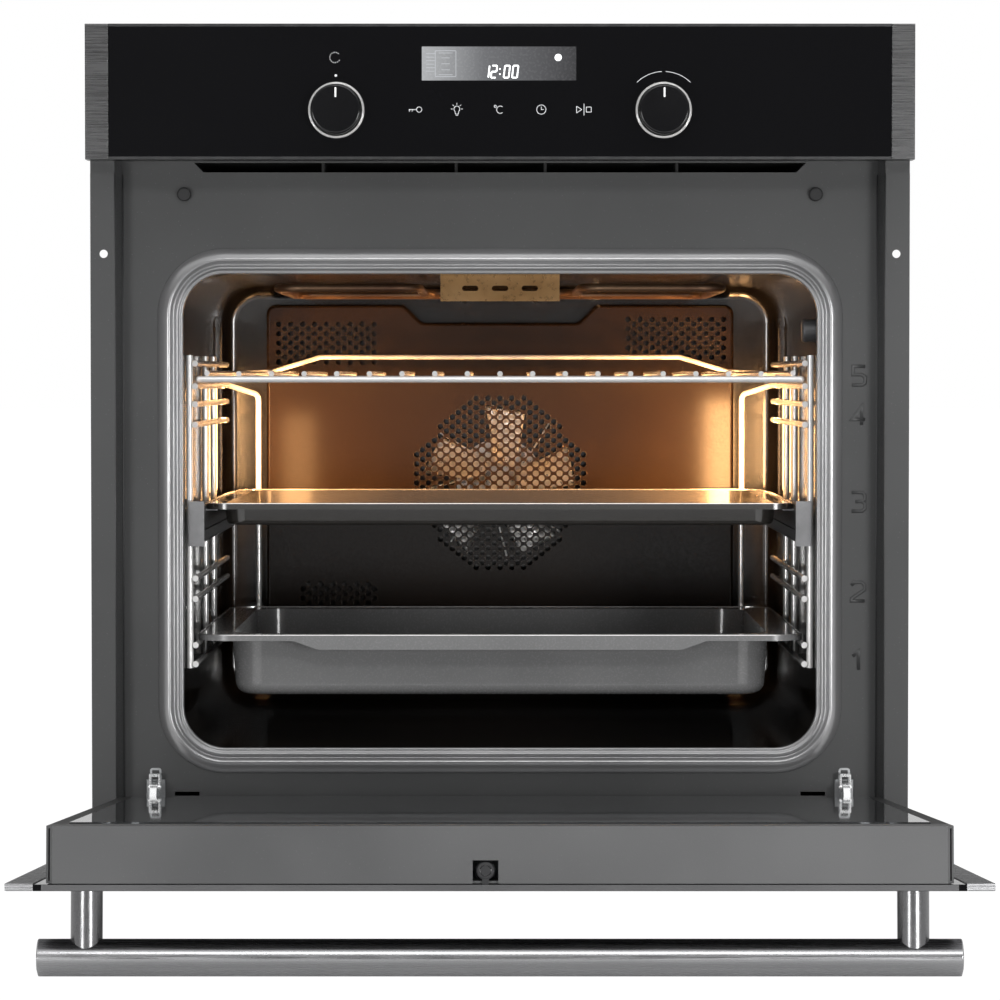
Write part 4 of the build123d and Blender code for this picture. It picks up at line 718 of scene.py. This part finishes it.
FAN_Z = (COVER[0].z + COVER[1].z) / 2 + mm(11.0)
VENT_Z = COVER[1].z - mm(30.0)
LOW_VENT_Z = COVER[0].z + mm(74.0)
fan_holes = mm_points(hole_grid(71.0, 73.0, True)) + (0, FAN_Z)
vents = mm_points(hole_grid(44.0, 16.5, False))
low_vents = mm_points(hole_grid(31.0, 13.0, False))
centres = np.concatenate([
    fan_holes, vents + (mm(-144.0), VENT_Z - mm(2.0)), vents + (mm(146.0), VENT_Z + mm(2.0)),
    low_vents + (mm(-134.0), LOW_VENT_Z)])
# the rolled edges are real shape; their pale finish is a painted highlight
add_piece("hole_edges", [hole_edges(centres, COVER[0].y)], HOLE_EDGE_PAINTED_HIGHLIGHT, "root")

# vanes of the convection fan, seen through those holes
VANE_ROOT, VANE_REACH, VANE_HALF_WIDTH, VANE_SWEEP = mm(14.0, 47.0, 17.0, 6.0)
VANE_DEPTH, VANE_LEAN, VANE_CAMBER, VANE_RIPPLE, VANE_THICKNESS = mm(13.0, 3.0, 1.5, 0.5, 0.5)


def fan_vane(turn):
    """A creased vane, over o from 0 at its root to 1 at its tip and a from -1 to 1 across it.

    Its width grows from half to full and it is swept by o squared. It lies behind the cover by a
    depth that leans with a, bows with a squared, and is rippled by sin(9 o + 2.3 turn) cos(3 a + turn).
    """
    out, across = np.meshgrid(np.linspace(0, 1, 26), np.linspace(-1, 1, 14), indexing="ij")
    radius = VANE_ROOT + VANE_REACH * out
    swing = across * VANE_HALF_WIDTH * (0.5 + 0.5 * out) + VANE_SWEEP * out * out
    ripple = VANE_RIPPLE * np.sin(9.0 * out + 2.3 * turn) * np.cos(3.0 * across + turn)
    depth = COVER[0].y + VANE_DEPTH + across * VANE_LEAN + VANE_CAMBER * across * across + ripple
    c, s = np.cos(turn), np.sin(turn)
    x = radius * c - swing * s
    z = FAN_Z + radius * s + swing * c
    front = np.stack([x, depth, z], -1)
    back = front[:, ::-1] + np.array([0, VANE_THICKNESS, 0])
    shell = np.concatenate([front, back], 1)
    rows, columns = shell.shape[:2]
    faces = quads(rows, columns, False, True).tolist()
    faces += [list(range(columns)), list(range((rows - 1) * columns, rows * columns))[::-1]]
    return shell.reshape(-1, 3), faces


FIRST_VANE = 0.15
vane_turns = np.linspace(FIRST_VANE, 2 * pi + FIRST_VANE, 5, endpoint=False)
add_piece("fan_vanes", [fan_vane(turn) for turn in vane_turns],
          FAN_METAL, "convection_fan_wheel")

# rolled rims of the tray and the pan, finished in pale metal as a painted highlight along the rims
FLAT = (np.array([1.0, 0, 0]), np.array([0, 1.0, 0]), np.array([0, 0, 1.0]))
ROLL = mm_points([(-1.9, -0.6), (-1.9, 0.5), (-1.2, 0.6), (-0.9, 0.5), (0.0, -1.1), (-0.3, -1.5)])
for node, body, corner in (("baking_tray", "tray_carriage", 16.0), ("deep_pan", "pan", 24.0)):
    low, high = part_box(node)
    path = ring_path((high.x - low.x) / 2, (high.y - low.y) / 2, mm(corner), 12)
    path = path + np.array([(low.x + high.x) / 2, (low.y + high.y) / 2])
    add_piece(node + "_rim", [carried(path, ROLL, (0, 0, high.z), FLAT, closed=True)],
              RIM_PAINTED_HIGHLIGHT, body, smooth=False)

# ======================================================================
# Door
# ======================================================================

# edging along the free edge of the outer glass, placed on the shut door and then swung open with it
DOOR_TOP, DOOR_FACE, GLASS, EDGING_INSET, EDGING_RISE = mm(493.0, -22.0, 4.0, 0.2, 0.05)
EDGING_HALF = mm(275.5)
edging = np.array([(x, y, z) for x in (-EDGING_HALF, EDGING_HALF)
                   for y in (DOOR_FACE + EDGING_INSET, DOOR_FACE + GLASS - EDGING_INSET)
                   for z in (DOOR_TOP - EDGING_INSET, DOOR_TOP + EDGING_RISE)])
BOX_FACES = [(0, 1, 3, 2), (4, 6, 7, 5), (0, 4, 5, 1), (2, 3, 7, 6), (0, 2, 6, 4), (1, 5, 7, 3)]
add_piece("glass_edging", [(swung(edging), BOX_FACES)],
          FINISH["dark_steel"], "door", smooth=False)

# the catch: a stepped round button, turned about the shut door's upright axis
CATCH = mm_points([
    (0, 0.9), (1.2, 0.9), (1.5, 0.4), (2.6, 0.4), (2.9, 1.0), (3.4, 1.1), (3.9, 0.7), (4.2, 0.1), (4.4, -0.6),
    (0, -0.6)])
points, faces = turned(CATCH, mm(-8.7, -9.8, 491.5), axis=(0, 0, 1), sides=48)
add_piece("catch_face", [(swung(points), faces)], FINISH["gloss_plastic"], "door")

# ======================================================================
# Light, floor, camera
# ======================================================================


def area_light(name, place, target, width, height, power, colour=(1, 1, 1)):
    """A rectangular soft light at place, facing target."""
    light = bpy.data.lights.new(name, "AREA")
    light.shape = "RECTANGLE"
    light.size, light.size_y = width, height
    light.energy = power
    light.color = colour
    holder = bpy.data.objects.new(name, light)
    holder.location = place
    holder.rotation_euler = (Vector(target) - Vector(place)).to_track_quat("-Z", "Y").to_euler()
    holder.visible_camera = False
    bpy.context.scene.collection.objects.link(holder)
    return holder


# soft lights of the studio, the two at the sides far enough out that the rear wall mirrors neither
area_light("overhead_softbox", (0.25, -1.3, 2.3), (0, 0, 0.2), 1.4, 0.7, 3)
area_light("front_high_softbox", (0.1, -2.9, 1.75), (0, 0, 0.2), 1.2, 0.35, 11)
area_light("side_softbox_right", (1.25, -2.6, 0.15), (0.0, 0, 0.15), 0.5, 0.7, 22)
area_light("side_softbox_left", (-1.25, -2.6, 0.15), (0.0, 0, 0.15), 0.5, 0.7, 14)

# the oven lamps in the side walls, and their faint images in the rear wall
WARM = (1.0, 0.52, 0.2)
lamp_mid = (LAMPS[0] + LAMPS[1]) / 2
for name, side, power in (("oven_lamp_left", -1, 3.6), ("oven_lamp_right", 1, 4.2)):
    lamp = area_light(name, (side * (OPENING_HALF - mm(1.5)), lamp_mid.y, lamp_mid.z),
                      (0, lamp_mid.y, lamp_mid.z), mm(56.0), mm(80.0), power, WARM)
    lamp.visible_glossy = False
area_light("lamp_glow_left", mm(-173.0, 300.0, 275.0), mm(-160.0, 418.0, 275.0), mm(26.0), mm(70.0),
           0.05, WARM)
area_light("lamp_glow_right", mm(192.0, 300.0, 280.0), mm(175.0, 418.0, 280.0), mm(30.0), mm(84.0),
           0.35, WARM)


def grey(value):
    """An opaque grey."""
    return value, value, value, 1


# height of the sky, 0 below and 1 above, and its brightness there
SKY = ((0.5, 0.1), (0.58, 0.08), (0.7, 0.35), (0.82, 0.9))
SKY_BELOW, SKY_ABOVE = 0.06, 0.8


def studio_world():
    """A grey room that brightens upwards, and is white where the camera looks at it."""
    world = bpy.data.worlds.new("studio")
    world.use_nodes = True
    tree = world.node_tree
    link = tree.links.new
    place = tree.nodes.new("ShaderNodeTexCoord")
    split = tree.nodes.new("ShaderNodeSeparateXYZ")
    link(place.outputs["Generated"], split.inputs["Vector"])
    height = tree.nodes.new("ShaderNodeMapRange")
    height.inputs["From Min"].default_value = -1.0
    link(split.outputs["Z"], height.inputs["Value"])
    ramp = tree.nodes.new("ShaderNodeValToRGB")
    ramp.color_ramp.elements[0].color = grey(SKY_BELOW)
    ramp.color_ramp.elements[1].color = grey(SKY_ABOVE)
    for stop, value in SKY:
        ramp.color_ramp.elements.new(stop).color = grey(value)
    link(height.outputs["Result"], ramp.inputs["Fac"])
    seen = tree.nodes.new("ShaderNodeLightPath")
    white = colour_mix(tree)
    white.inputs["B"].default_value = grey(1)
    link(seen.outputs["Is Camera Ray"], white.inputs["Factor"])
    link(ramp.outputs["Color"], white.inputs["A"])
    link(white.outputs["Result"], tree.nodes["Background"].inputs["Color"])
    return world


# how much of the floor's own glow the camera and a mirror see, over its paper
FLOOR_GLOW, CAMERA_SHARE, MIRROR_SHARE = 1.08, 0.93, 0.12


def white_paper():
    """Matt white paper with a glow that only the camera and, faintly, mirrors see."""
    paper = bpy.data.materials.new("white_paper")
    paper.use_nodes = True
    tree = paper.node_tree
    link = tree.links.new
    shader = tree.nodes["Principled BSDF"]
    shader.inputs["Base Color"].default_value = grey(0.85)
    shader.inputs["Roughness"].default_value = 0.9
    shader.inputs["Specular IOR Level"].default_value = 0.1
    seen = tree.nodes.new("ShaderNodeLightPath")
    glow = tree.nodes.new("ShaderNodeEmission")
    glow.inputs["Strength"].default_value = FLOOR_GLOW
    pick = tree.nodes.new("ShaderNodeMixShader")
    mirrored = tree.nodes.new("ShaderNodeMath")
    mirrored.operation = "MULTIPLY"
    mirrored.inputs[1].default_value = MIRROR_SHARE
    link(seen.outputs["Is Glossy Ray"], mirrored.inputs[0])
    share = tree.nodes.new("ShaderNodeMath")
    share.operation = "MULTIPLY_ADD"
    share.inputs[1].default_value = CAMERA_SHARE
    link(seen.outputs["Is Camera Ray"], share.inputs[0])
    link(mirrored.outputs["Value"], share.inputs[2])
    link(share.outputs["Value"], pick.inputs["Fac"])
    link(shader.outputs["BSDF"], pick.inputs[1])
    link(glow.outputs["Emission"], pick.inputs[2])
    link(pick.outputs["Shader"], tree.nodes["Material Output"].inputs["Surface"])
    return paper


bpy.context.scene.world = studio_world()

REACH = 40.0
floor_z = cad_box[0].z - mm(0.6)
floor_mesh = bpy.data.meshes.new("studio_floor")
floor_mesh.from_pydata([(-REACH, -REACH, floor_z), (REACH, -REACH, floor_z), (REACH, REACH, floor_z),
                        (-REACH, REACH, floor_z)], [], [(0, 1, 2, 3)])
floor = bpy.data.objects.new("studio_floor", floor_mesh)
bpy.context.scene.collection.objects.link(floor)
floor_mesh.materials.append(white_paper())

CAMERA_TILT = 1.815  # degrees below level
camera_data = bpy.data.cameras.new("camera")
camera_data.lens = 141.25
camera_data.clip_end = 200
camera = bpy.data.objects.new("camera", camera_data)
camera.location = (0.0, -2.841, 0.343)
camera.rotation_euler = (radians(90 - CAMERA_TILT), 0, 0)
bpy.context.scene.collection.objects.link(camera)
bpy.context.scene.camera = camera
bpy.context.scene.view_settings.view_transform = "Standard"
